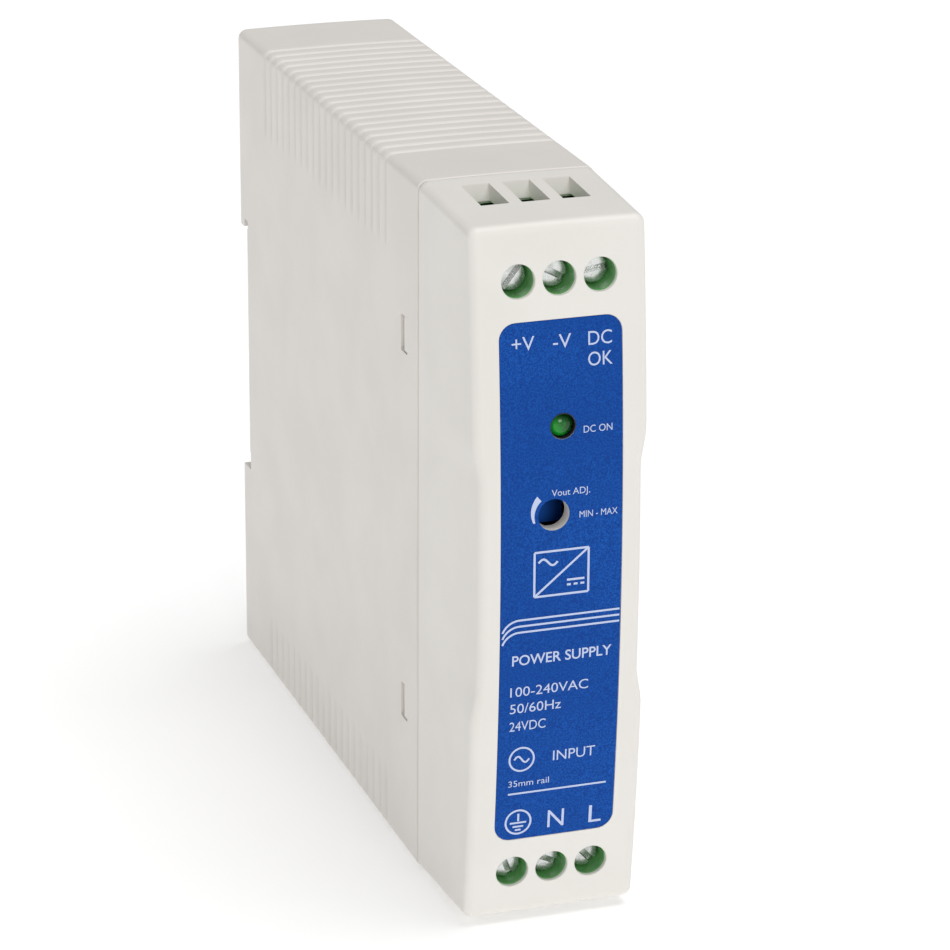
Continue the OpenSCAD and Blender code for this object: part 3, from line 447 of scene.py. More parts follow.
# A solid from a polygon and two ends. along is "x" for (depth, height) points, "y" for (across, height),
# and "z" for (across, depth).
def prism(points, along, low, high):
    def at(p, end):
        if along == "x":
            return place(end, p[0], p[1])
        if along == "y":
            return place(p[0], end, p[1])
        return place(p[0], p[1], end)
    mesh = bmesh.new()
    near = [mesh.verts.new(at(p, low)) for p in points]
    far = [mesh.verts.new(at(p, high)) for p in points]
    mesh.faces.new(near)
    mesh.faces.new(list(reversed(far)))
    for i in range(len(points)):
        j = (i + 1) % len(points)
        mesh.faces.new((near[i], far[i], far[j], near[j]))
    return closed(mesh)


def meshData(mesh):
    data = bpy.data.meshes.new("shape")
    mesh.to_mesh(data)
    mesh.free()
    return data


def closed(mesh):
    bmesh.ops.recalc_face_normals(mesh, faces=mesh.faces)
    return meshData(mesh)


def block(low, high):
    corners = [(low[0], low[1]), (high[0], low[1]), (high[0], high[1]), (low[0], high[1])]
    return prism(corners, "z", low[2], high[2])


# A turned solid along the depth. profile is a list of (depth, radius), and lean shears it along the height.
def turned(x, z, profile, segments=48, lean=0.0, start=0.0):
    mesh = bmesh.new()
    rings = []
    for depth, radius in profile:
        ring = []
        for i in range(segments):
            turn = 2 * math.pi * i / segments + start
            up = radius * math.sin(turn)
            ring.append(mesh.verts.new(place(x + radius * math.cos(turn), depth + lean * up, z + up)))
        rings.append(ring)
    for near, far in zip(rings, rings[1:]):
        for i in range(segments):
            j = (i + 1) % segments
            mesh.faces.new((near[i], near[j], far[j], far[i]))
    mesh.faces.new(rings[0])
    mesh.faces.new(list(reversed(rings[-1])))
    return closed(mesh)


def joined(parts):
    mesh = bmesh.new()
    for part in parts:
        mesh.from_mesh(part)
    return meshData(mesh)


# Cuts with solids that don't touch each other, in one exact boolean
def carve(obj, parts, operation="DIFFERENCE"):
    cutter = newObject("cutter", joined(parts), None)
    modifier = obj.modifiers.new("cut", "BOOLEAN")
    modifier.operation = operation
    modifier.solver = "EXACT"
    modifier.use_self = operation == "UNION"
    modifier.object = cutter
    shape = bpy.data.meshes.new_from_object(obj.evaluated_get(bpy.context.evaluated_depsgraph_get()))
    obj.modifiers.clear()
    obj.data = shape
    bpy.data.objects.remove(cutter)


# Smooth within an angle, with normals that favour the large faces
def shade(obj, angle=32):
    obj.data.polygons.foreach_set("use_smooth", [True] * len(obj.data.polygons))
    obj.data.set_sharp_from_angle(angle=math.radians(angle))
    level = obj.modifiers.new("normals", "WEIGHTED_NORMAL")
    level.keep_sharp = True
    level.weight = 60


def finishPiece(obj, slot, body, *replaced):
    paint(obj, finishes[slot])
    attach(obj, body)
    if replaced:
        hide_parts(*replaced)


# The rear case, lofted from rings along its depth

case = {
    "seam": 20.8, "edge": 1.25, "crown": 0.14, "rim": 0.28, "rearRound": 0.45,
    "grooves": 20, "pitch": 2.8, "first": 33.0, "grooveDeep": 0.55,
    "upperEnd": 33.0, "lowerEnd": 35.6, "fade": 2.6,
    "wall": 1.4, "endWall": 1.8, "inside": 94.7,
    "seat": 96.5, "slotHalf": 17.55, "hook": 1.2, "hookDeep": 1.3, "relief": 0.3, "noseRelief": 2.6,
    "channelFloor": 97.0, "channelLip": 98.7, "flangeHalf": 5.7, "faceHalf": 4.2,
    "windowAt": 24.2, "windowHalf": 2.35, "windowFrom": 24.6, "windowTo": 27.2}

# One groove, from its steep front wall to the slope at its rear
grooveSection = [(-0.05, 0), (0.04, 0.3), (0.12, 0.92), (0.25, 1), (0.4, 0.87), (0.68, 0.5), (0.93, 0.2),
                 (1.15, 0.06), (1.4, 0)]


def caseHeights():
    heights = [41, 39, 37.5, 36.6, 36, 35.4, 34.8, 34.2, 33.6, 33, 32, 30, 26, 21, 14, 7, 0]
    heights += [-7, -14, -21, -26, -30, -33, -34.6, -35.2, -35.8, -36.4, -37, -37.6, -38.2, -39, -40, -41.5]
    return heights


def caseRing(depth, inset, grooveDeep):
    ring = []
    for x, z, nx, nz in outline(halfWide, halfTall, case["edge"], case["crown"], caseHeights()):
        upper = ease(case["upperEnd"], case["upperEnd"] + case["fade"], z)
        lower = ease(case["lowerEnd"], case["lowerEnd"] + case["fade"], -z)
        move = inset + grooveDeep * max(upper, lower)
        ring.append((x - nx * move, depth, z - nz * move))
    return ring


def makeRearCase():
    c = case
    rings = [caseRing(c["seam"] + c["rim"] * (1 - math.cos(turn)), c["rim"] * (1 - math.sin(turn)), 0)
             for turn in (0, 0.4, 0.8, 1.2, math.pi / 2)]
    rings += [caseRing(depth, 0, 0) for depth in (24, 27.5, 30.5, 32.4)]
    for i in range(c["grooves"]):
        start = c["first"] + i * c["pitch"]
        rings += [caseRing(start + along, 0, c["grooveDeep"] * share) for along, share in grooveSection]
    rings += [caseRing(depth, 0, 0) for depth in (90, 95, 98.5)]
    radius = c["rearRound"]
    rings += [caseRing(caseDeep - radius * (1 - math.sin(turn)), radius * (1 - math.cos(turn)), 0)
              for turn in (0, 0.4, 0.8, 1.2, math.pi / 2)]
    obj = newObject("rearCase", ringSolid(rings), None)
    half, seat = c["slotHalf"], c["seat"]
    relief, hook, hookBack = seat - c["relief"], half + c["hook"], seat + c["hookDeep"]
    wide = halfWide + 1
    out = caseDeep + 1
    slot = [(out, -half - 0.8), (caseDeep + 0.02, -half - 0.7), (caseDeep - 0.06, -half - 0.42),
            (caseDeep - 0.22, -half - 0.2), (caseDeep - 0.44, -half - 0.06), (caseDeep - 0.75, -half),
            (relief, -half), (relief, -half + c["noseRelief"]), (seat, -half + c["noseRelief"]),
            (seat, half), (relief, half), (relief, hook - 0.15), (relief + 0.15, hook),
            (hookBack - 0.1, hook), (hookBack, hook - 0.1), (hookBack, half + 0.25),
            (hookBack + 0.08, half + 0.08), (hookBack + 0.25, half),
            (caseDeep - 0.4, half), (caseDeep - 0.12, half + 0.12), (caseDeep + 0.02, half + 0.4),
            (out, half + 0.5)]
    carve(obj, [prism(slot, "x", -wide, wide)])
    low = -halfTall - 1
    flange = c["flangeHalf"]
    carve(obj, [block((-flange, c["channelFloor"], low), (flange, c["channelLip"], -half + 0.4))])
    carve(obj, [block((-c["faceHalf"], c["channelFloor"], low), (c["faceHalf"], out, -half + 0.5))])
    inner, ceiling = halfWide - c["wall"], halfTall - c["endWall"]
    carve(obj, [block((-inner, c["seam"] - 1, -ceiling), (inner, c["inside"], ceiling))])
    h = c["windowHalf"]
    r = 0.25
    near, far = c["windowFrom"], c["windowTo"]
    window = [(near + r, -h), (far - r, -h), (far, -h + r), (far, h - r),
              (far - r, h), (near + r, h), (near, h - r), (near, -h + r)]
    carve(obj, [prism([(d, z + side * c["windowAt"]) for d, z in window], "x", -wide, wide)
                for side in (-1, 1)])
    # The stop under the clip's spring
    top = (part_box("clip_spring")[0].z - middleZ) / mm - 0.03
    stopShape = block((-1.5, c["channelFloor"] - 0.3, top - 2), (1.5, caseDeep - 0.7, top))
    stop = newObject("springStop", stopShape, None)
    soften(stop, 0.15)
    finishPiece(stop, "case_plastic", "housing")
    shade(obj)
    finishPiece(obj, "case_plastic", "housing", "rear_case")


makeRearCase()
print("rear case done")


# The front cover, whose front face is bowed along its height

cover = {
    "seam": 20.8, "gap": 0.2, "shy": 0.09, "bow": 2.9, "edge": 1.2, "front": 1.15, "crown": 0.12,
    "endDraw": 0.9, "sideDraw": 0.2, "wall": 1.85,
    "gripDeep": 0.7, "gripHalf": 15.3, "gripRun": 5.2, "gripMiddle": 0.6, "gripBack": 18.8,
    "hole": 2.05, "lip": 0.12, "skin": 0.62, "behind": 2.5, "holeBack": 5.2, "wireHalf": 1.75,
    "labelGap": 0.06, "labelSink": 0.14, "ledHole": 1.6, "trimmerHole": 1.95, "smallHoleBack": 4.5,
    "sideWall": 1.4, "poles": (-5.08, 0.0, 5.08), "pocketHalf": 7.5, "pocketFrom": 10.2, "pocketTo": 18.0,
    "pocketAt": 42.2, "catchSink": 0.12, "catchGap": 0.14}

# The section through an upper wire funnel, as (depth, height)
funnelSection = [(10.0, 46), (18.1, 46), (17.95, 44.9), (17.8, 44.6), (17.3, 42.9), (17.1, 41.6), (11.2, 41.6),
                 (10.3, 44.5), (10.1, 44.9)]

skirt = {"side": 1.52, "end": 1.92, "from": 19.2, "to": 22.8, "wall": 0.8, "armFrom": 20.0, "armTo": 27.9}
bowRadius = (halfTall ** 2 + cover["bow"] ** 2) / (2 * cover["bow"])


def bowed(height):
    return bowRadius - math.sqrt(bowRadius ** 2 - height ** 2)


def gripInset(depth, height):
    g = cover
    half, run = g["gripHalf"], g["gripRun"]
    inside = abs(height - g["gripMiddle"])
    length = 1 - ease(half - run / 2, half + run / 2, inside)
    return g["gripDeep"] * length * min(max((g["gripBack"] - depth) / (g["gripBack"] - 1.5), 0), 1)


def coverHeights():
    m, half, run = cover["gripMiddle"], cover["gripHalf"], cover["gripRun"]
    near = [half + run * t for t in (0.55, 0.42, 0.3, 0.18, 0.06, -0.06, -0.18, -0.3, -0.42, -0.55)]
    heights = [41, 37, 33, 29, 25, 21] + [m + n for n in near] + [10, 7, 3.5, 0.6, -2.5, -6, -9]
    return heights + [m - n for n in reversed(near)] + [-20.5, -25, -29, -33, -37, -41]


# share runs from 1 at the seam to 0 at the front, where the ring follows the bow
def coverRing(share, inset, rise):
    g = cover
    t = 1 - share
    wide = halfWide - g["shy"] - g["sideDraw"] * t
    tall = halfTall - g["shy"] - g["endDraw"] * t
    ring = []
    for x, z, nx, nz in outline(wide, tall, g["edge"], g["crown"], coverHeights()):
        height = z - nz * inset
        front = bowed(height) + g["front"]
        depth = front + (g["seam"] - g["gap"] - front) * share - rise
        squeeze = gripInset(depth, z) * abs(nx)
        ring.append((x - nx * (inset + squeeze), depth, height))
    return ring


# A hole with a small lip, square to the bow. It widens behind the skin where behind is given.
def holeCutter(x, z, radius, back, lip, behind=None):
    surface = bowed(z)
    profile = [(surface - 1.5, radius + lip + 0.02), (surface - 0.02, radius + lip + 0.02),
               (surface + lip * 0.25, radius + lip * 0.55), (surface + lip * 0.6, radius + lip * 0.2),
               (surface + lip * 1.2, radius)]
    if behind:
        profile += [(surface + cover["skin"], radius), (surface + cover["skin"], behind), (back, behind)]
    else:
        profile.append((back, radius))
    return turned(x, z, profile, 64, z / bowRadius)


label = {"corner": 2.0, "face": 0.02, "back": 0.13, "edge": 0.03, "print": -0.004, "holeGap": 0.02}


def labelOutline(grow, heightSteps=14):
    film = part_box("front_label")
    wide = (film[1].x - film[0].x) / 2 / mm + grow
    tall = (film[1].z - film[0].z) / 2 / mm + grow
    up = ((film[0].z + film[1].z) / 2 - middleZ) / mm
    reach = tall - label["corner"]
    heights = [reach * (1 - 2 * i / heightSteps) for i in range(1, heightSteps)]
    ring = outline(wide, tall, label["corner"] + grow, 0.02, heights, 6, 8)
    return [(x, z + up, nx, nz) for x, z, nx, nz in ring]


# The label's outline as a plate between two offsets from the bow, with its front edge rounded
def labelPlate(grow, face, back, edge):
    ring = labelOutline(grow)
    rings = [[(x - nx * inset, bowed(z) + depth, z - nz * inset) for x, z, nx, nz in ring]
             for depth, inset in ((face, edge), (face + edge * 0.3, edge * 0.3), (face + edge, 0), (back, 0))]
    return ringSolid(rings, lambda height: bowed(height) + face, lambda height: bowed(height) + back)


screwNames = [side + "_screw_" + str(i) for side in ("output", "input") for i in (1, 2, 3)]


def makeFrontCover():
    g = cover
    quarter = [math.pi / 2 * i / 6 for i in range(7)]
    rings = [coverRing(0, g["front"] * (1 - math.sin(turn)), g["front"] * math.cos(turn)) for turn in quarter]
    rings += [coverRing(share, 0, 0) for share in (0.08, 0.2, 0.35, 0.5, 0.65, 0.8, 0.88, 0.95)]
    rings += [coverRing(1, 0, 0.12), coverRing(1, 0.05, 0.02), coverRing(1, 0.12, 0)]
    obj = newObject("frontCover", ringSolid(rings, bowed), None)
    # Hollow behind the front wall
    tall = halfTall - g["wall"] - g["endDraw"]
    side = halfWide - g["sideWall"] - g["sideDraw"] - g["gripDeep"]
    steps = [tall * (1 - 2 * i / 16) for i in range(17)]
    inner = [(bowed(z) + g["wall"], z) for z in steps] + [(g["seam"] + 1, -tall), (g["seam"] + 1, tall)]
    carve(obj, [prism(inner, "x", -side, side)])
    # Label recess, access holes, indicator and trimmer holes
    carve(obj, [labelPlate(g["labelGap"], -1.5, g["labelSink"], 0.001)])
    holes = []
    for name in screwNames:
        x, z = middleOf(name)
        holes.append(holeCutter(x, z, g["hole"], g["holeBack"], g["lip"], g["behind"]))
    ledX, ledZ = middleOf("led_lens")
    rotorX, rotorZ = middleOf("trimmer_rotor")
    holes.append(holeCutter(ledX, ledZ, g["ledHole"], g["smallHoleBack"], 0.03))
    holes.append(holeCutter(rotorX, rotorZ, g["trimmerHole"], g["smallHoleBack"], 0.05))
    carve(obj, holes)
    # Funnels for the wires, with lips at the outside, and a shallow pocket across them inside
    w, wide, at = g["wireHalf"], g["pocketHalf"], g["pocketAt"]
    carve(obj, [prism([(d, end * z) for d, z in funnelSection], "x", pole - w, pole + w)
                for end in (-1, 1) for pole in g["poles"]])
    carve(obj, [block((-wide, g["pocketFrom"], end * at - 0.5), (wide, g["pocketTo"], end * at + 0.5))
                for end in (-1, 1)])
    makeSkirt()
    shade(obj)
    finishPiece(obj, "cover_plastic", "housing", "front_cover")


def makeSkirt():
    g, s = cover, skirt
    # Skirt inside the case, and the catches that show in its windows
    side, tall, wall = halfWide - s["side"], halfTall - s["end"], s["wall"]
    rim = newObject("coverSkirt", block((-side, s["from"], -tall), (side, s["to"], tall)), None)
    across, up = side - wall, tall - wall
    carve(rim, [block((-across, s["from"] - 1.2, -up), (across, s["to"] + 1.2, up))])
    face = halfWide - g["catchSink"]
    low, high = case["windowFrom"] + g["catchGap"], case["windowTo"] - g["catchGap"]
    half = case["windowHalf"] - g["catchGap"]
    arms = []
    for z in (-case["windowAt"], case["windowAt"]):
        for sideways in (-1, 1):
            arm = [(side, s["armFrom"]), (side, low), (face - 0.15, low), (face, low + 0.15),
                   (face, high - 0.9), (face - 0.45, high), (side, high), (side, s["armTo"]),
                   (across, s["armTo"]), (across, s["armFrom"])]
            arms.append(prism([(sideways * x, depth) for x, depth in arm], "z", z - half, z + half))
    catches = newObject("coverCatches", joined(arms), None)
    for piece in (rim, catches):
        soften(piece, 0.08)
        finishPiece(piece, "cover_plastic", "housing")


makeFrontCover()
print("front cover done")


# The label film and what is printed on it

def makeLabel():
    obj = newObject("frontLabel", labelPlate(0, label["face"], label["back"], label["edge"]), None)
    holes = []
    for node, radius in (("led_lens", cover["ledHole"]), ("trimmer_rotor", cover["trimmerHole"])):
        x, z = middleOf(node)
        holes.append(turned(x, z, [(-2, radius + label["holeGap"]), (3, radius + label["holeGap"])], 64))
    carve(obj, holes)
    shade(obj, 40)
    finishPiece(obj, "label_film", "housing", "front_label")


# Strokes and letters are laid on the label's bow
def onLabel(x, z):
    return place(x, bowed(z) + label["print"], z)


def ribbon(mesh, points, width, ring=False):
    count = len(points)
    sides = []
    for i, (x, z) in enumerate(points):
        before = points[(i - 1) % count] if ring or i else points[i]
        after = points[(i + 1) % count] if ring or i < count - 1 else points[i]
        dx, dz = after[0] - before[0], after[1] - before[1]
        size = math.hypot(dx, dz) or 1
        ox, oz = -dz / size * width / 2, dx / size * width / 2
        sides.append((mesh.verts.new(onLabel(x + ox, z + oz)), mesh.verts.new(onLabel(x - ox, z - oz))))
    for i in range(count if ring else count - 1):
        a, b = sides[i], sides[(i + 1) % count]
        mesh.faces.new((a[0], b[0], b[1], a[1]))


def patch(mesh, points):
    mesh.faces.new([mesh.verts.new(onLabel(x, z)) for x, z in points])


def arc(x, z, radius, start, end, steps=24):
    turns = [math.radians(start + (end - start) * i / steps) for i in range(steps + 1)]
    return [(x + radius * math.cos(t), z + radius * math.sin(t)) for t in turns]


# Words are fitted by the height of a capital and their width, about their own middle
def words(mesh, text, x, z, capital, width, left=False, weight=0.0):
    curve = bpy.data.curves.new("words", "FONT")
    curve.body = text
    curve.offset = weight
    curve.resolution_u = 4
    holder = bpy.data.objects.new("words", curve)
    bpy.context.scene.collection.objects.link(holder)
    data = bpy.data.meshes.new_from_object(holder.evaluated_get(bpy.context.evaluated_depsgraph_get()))
    bpy.data.objects.remove(holder)
    across = [v.co.x for v in data.vertices]
    wide = width / (max(across) - min(across))
    start = x if left else x - width / 2
    tall = capital / 0.729
    made = [mesh.verts.new(onLabel(start + (v.co.x - min(across)) * wide, z + (v.co.y - 0.3645) * tall))
            for v in data.vertices]
    for face in data.polygons:
        corners = []
        for i in face.vertices:
            if made[i] not in corners:
                corners.append(made[i])
        if len(corners) > 2 and not mesh.faces.get(corners):
            mesh.faces.new(corners)


# Heights are above the foot of the case. Rows hold a text, where it stands, and its width.
artwork = {
    "terminal": 1.75, "small": 0.9, "fitted": 0.855, "title": 1.35, "spec": 1.3, "input": 2.5,
    "line": 0.27, "rule": 0.25, "fine": 0.24, "symbolLeft": -3.4, "symbolRight": 3.4,
    "symbolLow": 43.7, "symbolHigh": 49.3, "rules": 40.95, "ruleGap": 0.78, "ratingsLeft": -6.2,
    "poles": [("+V", -4.69, 75.05, 2.8), ("-V", 0.13, 74.95, 2.25), ("DC", 4.85, 74.95, 2.95),
              ("OK", 4.85, 72.45, 3.05)],
    "ratings": [("100-240VAC", 31.7, 9.9), ("50/60Hz", 29.5, 6.5), ("24VDC", 27.15, 4.6)],
    "input poles": [("N", 0.2, 14.0, 2.1), ("L", 5.28, 13.9, 1.6)]}


# One period of a wave, as a line of points
def ripple(x, z, length):
    return [(x + length * i / 20, z + 0.42 * math.sin(2 * math.pi * i / 20)) for i in range(21)]


def makePrint():
    a = artwork
    mesh = bmesh.new()
    base = -halfTall
    rotorX, rotorZ = middleOf("trimmer_rotor")
    for text, x, up, width in a["poles"]:
        words(mesh, text, x, base + up, a["terminal"], width)
    words(mesh, "DC ON", 4.5, base + 64.0, a["small"], 3.6)
    words(mesh, "Vout ADJ.", rotorX + 2.1, rotorZ + 2.75, a["fitted"], 4.8)
    words(mesh, "MIN - MAX", rotorX + 5.6, rotorZ - 0.25, a["fitted"], 4.8)
    # A widening stroke shows which way the trimmer turns
    inside = arc(rotorX, rotorZ, 2.45, 198, 130, 12)
    for i in range(12):
        corners = []
        for step in (i, i + 1):
            x, z = inside[step]
            reach = 1 + (0.10 + 0.24 * step / 12)
            corners.append(((x, z), (rotorX + (x - rotorX) * reach, rotorZ + (z - rotorZ) * reach)))
        patch(mesh, [corners[0][0], corners[1][0], corners[1][1], corners[0][1]])
    # Converter symbol: a box cut corner to corner, with a wave for alternating and bars for direct current
    left, right = a["symbolLeft"], a["symbolRight"]
    low, high = base + a["symbolLow"], base + a["symbolHigh"]
    corners = [(left, low), (right, low), (right, high), (left, high), (left, low), (right, high)]
    for start, end in zip(corners, corners[1:]):
        ribbon(mesh, [start, end], a["line"])
    ribbon(mesh, ripple(-2.9, high - 1.35, 2.4), a["line"])
    ribbon(mesh, [(0.7, low + 1.75), (2.9, low + 1.75)], a["line"])
    for i in range(3):
        ribbon(mesh, [(0.7 + 0.85 * i, low + 1.15), (1.2 + 0.85 * i, low + 1.15)], a["line"])
    # Three rules across the label, bent down at the left
    for i in range(3):
        top = base + a["rules"] - a["ruleGap"] * i
        bend = arc(-5.2, top - 2.3, 2.3, 158, 90, 10)
        ribbon(mesh, bend + [(0, top), (7.45, top)], a["rule"])
    words(mesh, "POWER SUPPLY", 0.25, base + 35.8, a["title"], 12.6, False, 0.012)
    for text, up, width in a["ratings"]:
        words(mesh, text, a["ratingsLeft"], base + up, a["spec"], width, True)
    ribbon(mesh, [(-6.1, base + 18.0), (6.5, base + 18.0)], a["fine"])
    # Earth, in a circle
    ex, ez = -4.65, base + 14.05
    ribbon(mesh, arc(ex, ez, 1.6, 0, 360, 48)[:-1], a["rule"], True)
    ribbon(mesh, [(ex, ez + 1.15), (ex, ez + 0.1)], a["rule"])
    for half, drop in ((1.05, 0.1), (0.68, 0.62), (0.36, 1.08)):
        ribbon(mesh, [(ex - half, ez - drop), (ex + half, ez - drop)], a["fine"])
    for text, x, up, width in a["input poles"]:
        words(mesh, text, x, base + up, a["input"], width)
    # Supply symbol, a wave in a circle, beside the word
    sx, sz = -4.5, base + 22.6
    ribbon(mesh, arc(sx, sz, 1.55, 0, 360, 48)[:-1], a["fine"], True)
    ribbon(mesh, ripple(sx - 0.95, sz, 1.9), a["fine"])
    words(mesh, "INPUT", 2.2, base + 22.6, a["spec"] * 1.08, 5.4)
    words(mesh, "35mm rail", -6.1, base + 19.4, a["fitted"], 5.2, True)
    obj = newObject("labelPrint", closed(mesh), printFinish)
    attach(obj, "housing")


makeLabel()
makePrint()
print("label done")


# Collars of the terminal blocks, which reach forward round each screw to the cover's holes
collar = {"outside": 2.42, "inside": 2.0, "clear": 0.06, "soft": 0.1}


def makeCollars(side):
    outside, inside, soft = collar["outside"], collar["inside"], collar["soft"]
    reach = (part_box(side + "_terminal_block")[0].y - frontY) / mm
    tubes, bores = [], []
    for name in screwNames:
        if name.startswith(side):
            x, z = middleOf(name)
            front = bowed(z) + cover["skin"] + collar["clear"]
            lean = z / bowRadius
            tube = [(front, outside - soft), (front + soft, outside), (reach + 0.2, outside)]
            bore = [(front - 1, inside + 0.1), (front + 0.02, inside + 0.1), (front + 0.14, inside),
                    (reach + 1, inside)]
            tubes.append(turned(x, z, tube, 64, lean))
            bores.append(turned(x, z, bore, 64, lean))
    obj = newObject(side + "Collars", joined(tubes), None)
    carve(obj, bores)
    shade(obj)
    finishPiece(obj, "terminal_green", "housing")


for side in ("output", "input"):
    makeCollars(side)
print("collars done")


# Slotted screws with a shallow thread

screw = {"head": 1.8, "headDeep": 1.6, "shank": 1.25, "thread": 0.12, "pitch": 0.45,
         "slot": 0.36, "slotDeep": 0.85,
         "angles": {"output_screw_1": 128, "output_screw_2": 28, "output_screw_3": -8,
                    "input_screw_1": 70, "input_screw_2": 24, "input_screw_3": 48}}


def makeScrew(name):
    s = screw
    low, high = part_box(name)
    x, z = middleOf(name)
    front = (low.y - frontY) / mm
    back = (high.y - frontY) / mm
    r = s["head"]
    profile = [(front + 0.04, 0.02), (front + 0.01, r * 0.5), (front, r - 0.2), (front + 0.03, r - 0.09),
               (front + 0.1, r - 0.02), (front + 0.2, r), (front + s["headDeep"] - 0.12, r),
               (front + s["headDeep"], r - 0.12), (front + s["headDeep"], s["shank"] - 0.05)]
    at = front + s["headDeep"] + 0.2
    shank, pitch = s["shank"], s["pitch"]
    while at < back - 0.75:
        profile += [(at, shank - s["thread"]), (at + pitch * 0.45, shank), (at + pitch * 0.6, shank)]
        at += pitch
    profile += [(back - 0.35, shank - 0.1), (back, shank - 0.5)]
    obj = newObject(name + "_detailed", turned(x, z, profile, 56), None)
    cut = block((-r - 1, front - 1, -s["slot"]), (r + 1, front + s["slotDeep"], s["slot"]))
    turn = Matrix.Rotation(math.radians(s["angles"][name]), 4, "Y")
    centre = place(0, 0, 0)
    shift = place(x, 0, z) - centre
    for vertex in cut.vertices:
        vertex.co = turn @ (vertex.co - centre) + centre + shift
    carve(obj, [cut])
    edges = obj.modifiers.new("edges", "BEVEL")
    edges.width = 0.05 * mm
    edges.segments = 2
    edges.limit_method = "ANGLE"
    edges.angle_limit = math.radians(50)
    shade(obj, 35)
    body = name.replace("output", "out").replace("input", "in")
    finishPiece(obj, "plated_screw", body, name)


for name in screwNames:
    makeScrew(name)
print("terminal screws done")


# The clip's spring, with closed ends.

spring = {"wire": 0.17, "clear": 0.01, "turns": 8, "steps": 28, "sides": 10, "endPitch": 0.38, "travel": 2.85}


def makeSpring():
    s = spring
    low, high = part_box("clip_spring")
    x = middleOf("clip_spring")[0]
    d = ((low.y + high.y) / 2 - frontY) / mm
    tall = (high.z - low.z) / mm
    coil = (high.x - low.x) / 2 / mm - s["wire"] - s["clear"]
    start = (low.z - middleZ) / mm + s["wire"] + s["clear"]
    rise = tall - 2 * (s["wire"] + s["clear"])
    pitch = (rise - 2 * s["endPitch"]) / (s["turns"] - 2)
    mesh = bmesh.new()
    rings = []
    for i in range(s["turns"] * s["steps"] + 1):
        turns = i / s["steps"]
        turn = 2 * math.pi * turns
        closedTurns = min(turns, 1) + max(turns - s["turns"] + 1, 0)
        height = start + s["endPitch"] * closedTurns + pitch * (turns - closedTurns)
        ring = []
        for k in range(s["sides"]):
            side = 2 * math.pi * k / s["sides"]
            reach = coil + s["wire"] * math.cos(side)
            ring.append(mesh.verts.new(place(x + reach * math.cos(turn), d + reach * math.sin(turn),
                                             height + s["wire"] * math.sin(side))))
        rings.append(ring)
    for near, far in zip(rings, rings[1:]):
        for k in range(s["sides"]):
            following = (k + 1) % s["sides"]
            mesh.faces.new((near[k], near[following], far[following], far[k]))
    mesh.faces.new(rings[0])
    mesh.faces.new(list(reversed(rings[-1])))
    obj = newObject("clipSpring", closed(mesh), None)
    shade(obj, 50)
    finishPiece(obj, "spring_steel", "housing", "clip_spring")
    foot = place(x, d, start - s["wire"])
    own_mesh(obj)


makeSpring()
print("clip spring done")


# The indicator in its hole

lens = {"radius": 1.5, "crown": 1.0, "flange": 0.4, "flangeDeep": 1.0, "shadeSleeve": 0.015, "shadeSleeveFrom": 0.06}


def makeLens():
    low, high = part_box("led_lens")
    x, z = middleOf("led_lens")
    front, back = (low.y - frontY) / mm, (high.y - frontY) / mm
    r, flange = lens["radius"], lens["radius"] + lens["flange"]
    turns = [math.pi / 2 * i / 12 for i in range(13)]
    profile = [(front + lens["crown"] * (1 - math.cos(t)), max(r * math.sin(t), 0.02)) for t in turns]
    profile += [(back - lens["flangeDeep"] - 0.05, r), (back - lens["flangeDeep"], flange - 0.04),
                (back - lens["flangeDeep"] + 0.1, flange), (back - 0.05, flange), (back, flange - 0.06)]
    obj = newObject("ledLens", turned(x, z, profile, 56), None)
    shade(obj, 40)
    finishPiece(obj, "lens_green", "housing", "led_lens")
    # A black sleeve lines the hole round the lens: a dark piece standing for the shade in the gap round it
    start = bowed(z) + lens["shadeSleeveFrom"]
    end = back - lens["flangeDeep"] - 0.3
    outside = cover["ledHole"] - lens["shadeSleeve"]
    shadeSleeve = newObject("ledShadeSleeve", turned(x, z, [(start, outside), (end, outside)], 56), None)
    carve(shadeSleeve, [turned(x, z, [(start - 1, r + lens["shadeSleeve"]), (end + 1, r + lens["shadeSleeve"])], 56)])
    shade(shadeSleeve)
    finishPiece(shadeSleeve, "black_plastic", "housing")


makeLens()
print("indicator done")


# Floor, light and camera

studio = {"floor": 0.86, "glow": 0.29, "world": 0.34, "front": 0.73, "over": 1.34, "left": 0.34}


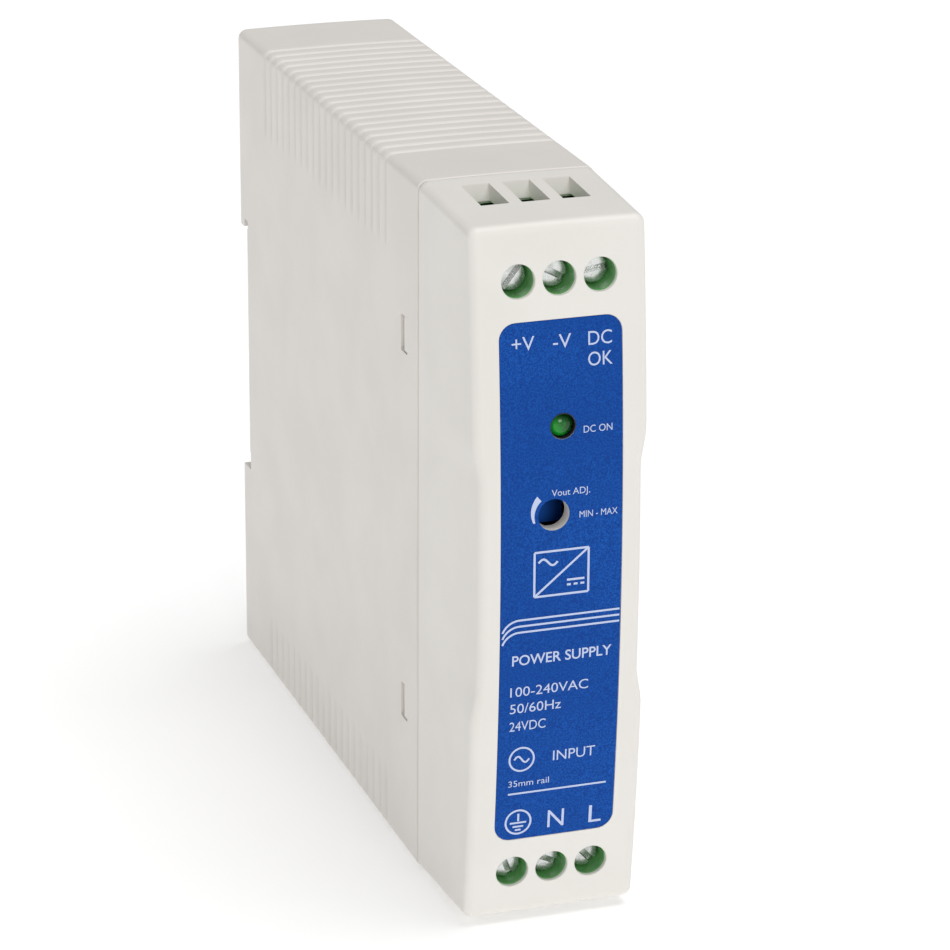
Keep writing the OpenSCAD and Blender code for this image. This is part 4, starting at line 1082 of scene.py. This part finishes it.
def makeFloor():
    half = 3.0
    mesh = bmesh.new()
    z = cadBox[0].z - 0.00005
    square = ((-half, -half), (half, -half), (half, half), (-half, half))
    mesh.faces.new([mesh.verts.new((x, y, z)) for x, y in square])
    data = meshData(mesh)
    f = Finish("floorPaper")
    soft = f.grain(0.02, 3, 0.5)
    tone = f.blend(soft * 0.1, (studio["floor"],) * 3, (studio["floor"] * 0.97,) * 3)
    paper = f.surface(Base_Color=tone, Roughness=0.9 + soft * 0.05, Specular_IOR_Level=0.1,
                      Emission_Color=(1, 1, 1), Emission_Strength=studio["glow"])
    newObject("floor", data, paper)


# A wide soft light from one side, even over the whole floor
def makeLight(name, strength, spread, side):
    data = bpy.data.lights.new(name, "SUN")
    data.energy = strength
    data.angle = math.radians(spread)
    lamp = bpy.data.objects.new(name, data)
    lamp.location = side
    lamp.rotation_euler = Vector(side).to_track_quat("Z", "Y").to_euler()
    bpy.context.scene.collection.objects.link(lamp)


def makeWorld():
    world = bpy.data.worlds.new("studio")
    bpy.context.scene.world = world
    world.use_nodes = True
    back = world.node_tree.nodes["Background"]
    back.inputs["Color"].default_value = (1, 1, 1, 1)
    back.inputs["Strength"].default_value = studio["world"]


camera = {"at": (-0.15329, -0.51275, 0.17402), "forward": (0.30413, 0.88912, -0.34200),
          "up": (0.104655, 0.325653, 0.939680), "lens": 152.33}


def makeCamera():
    data = bpy.data.cameras.new("camera")
    data.lens = camera["lens"]
    data.sensor_width = 36
    data.clip_start = 0.01
    forward = Vector(camera["forward"]).normalized()
    right = forward.cross(Vector(camera["up"])).normalized()
    up = right.cross(forward)
    turn = Matrix((right, up, -forward)).transposed().to_4x4()
    obj = bpy.data.objects.new("camera", data)
    obj.matrix_world = Matrix.Translation(camera["at"]) @ turn
    bpy.context.scene.collection.objects.link(obj)
    bpy.context.scene.camera = obj


makeFloor()
makeWorld()
makeLight("front", studio["front"], 24, (0.0, -1.1, 0.36))
makeLight("over", studio["over"], 40, (0.25, -0.1, 1.0))
makeLight("left", studio["left"], 40, (-0.75, -0.1, 0.75))
makeCamera()
scene = bpy.context.scene
scene.view_settings.view_transform = "Standard"
scene.view_settings.look = "None"
print("studio done")
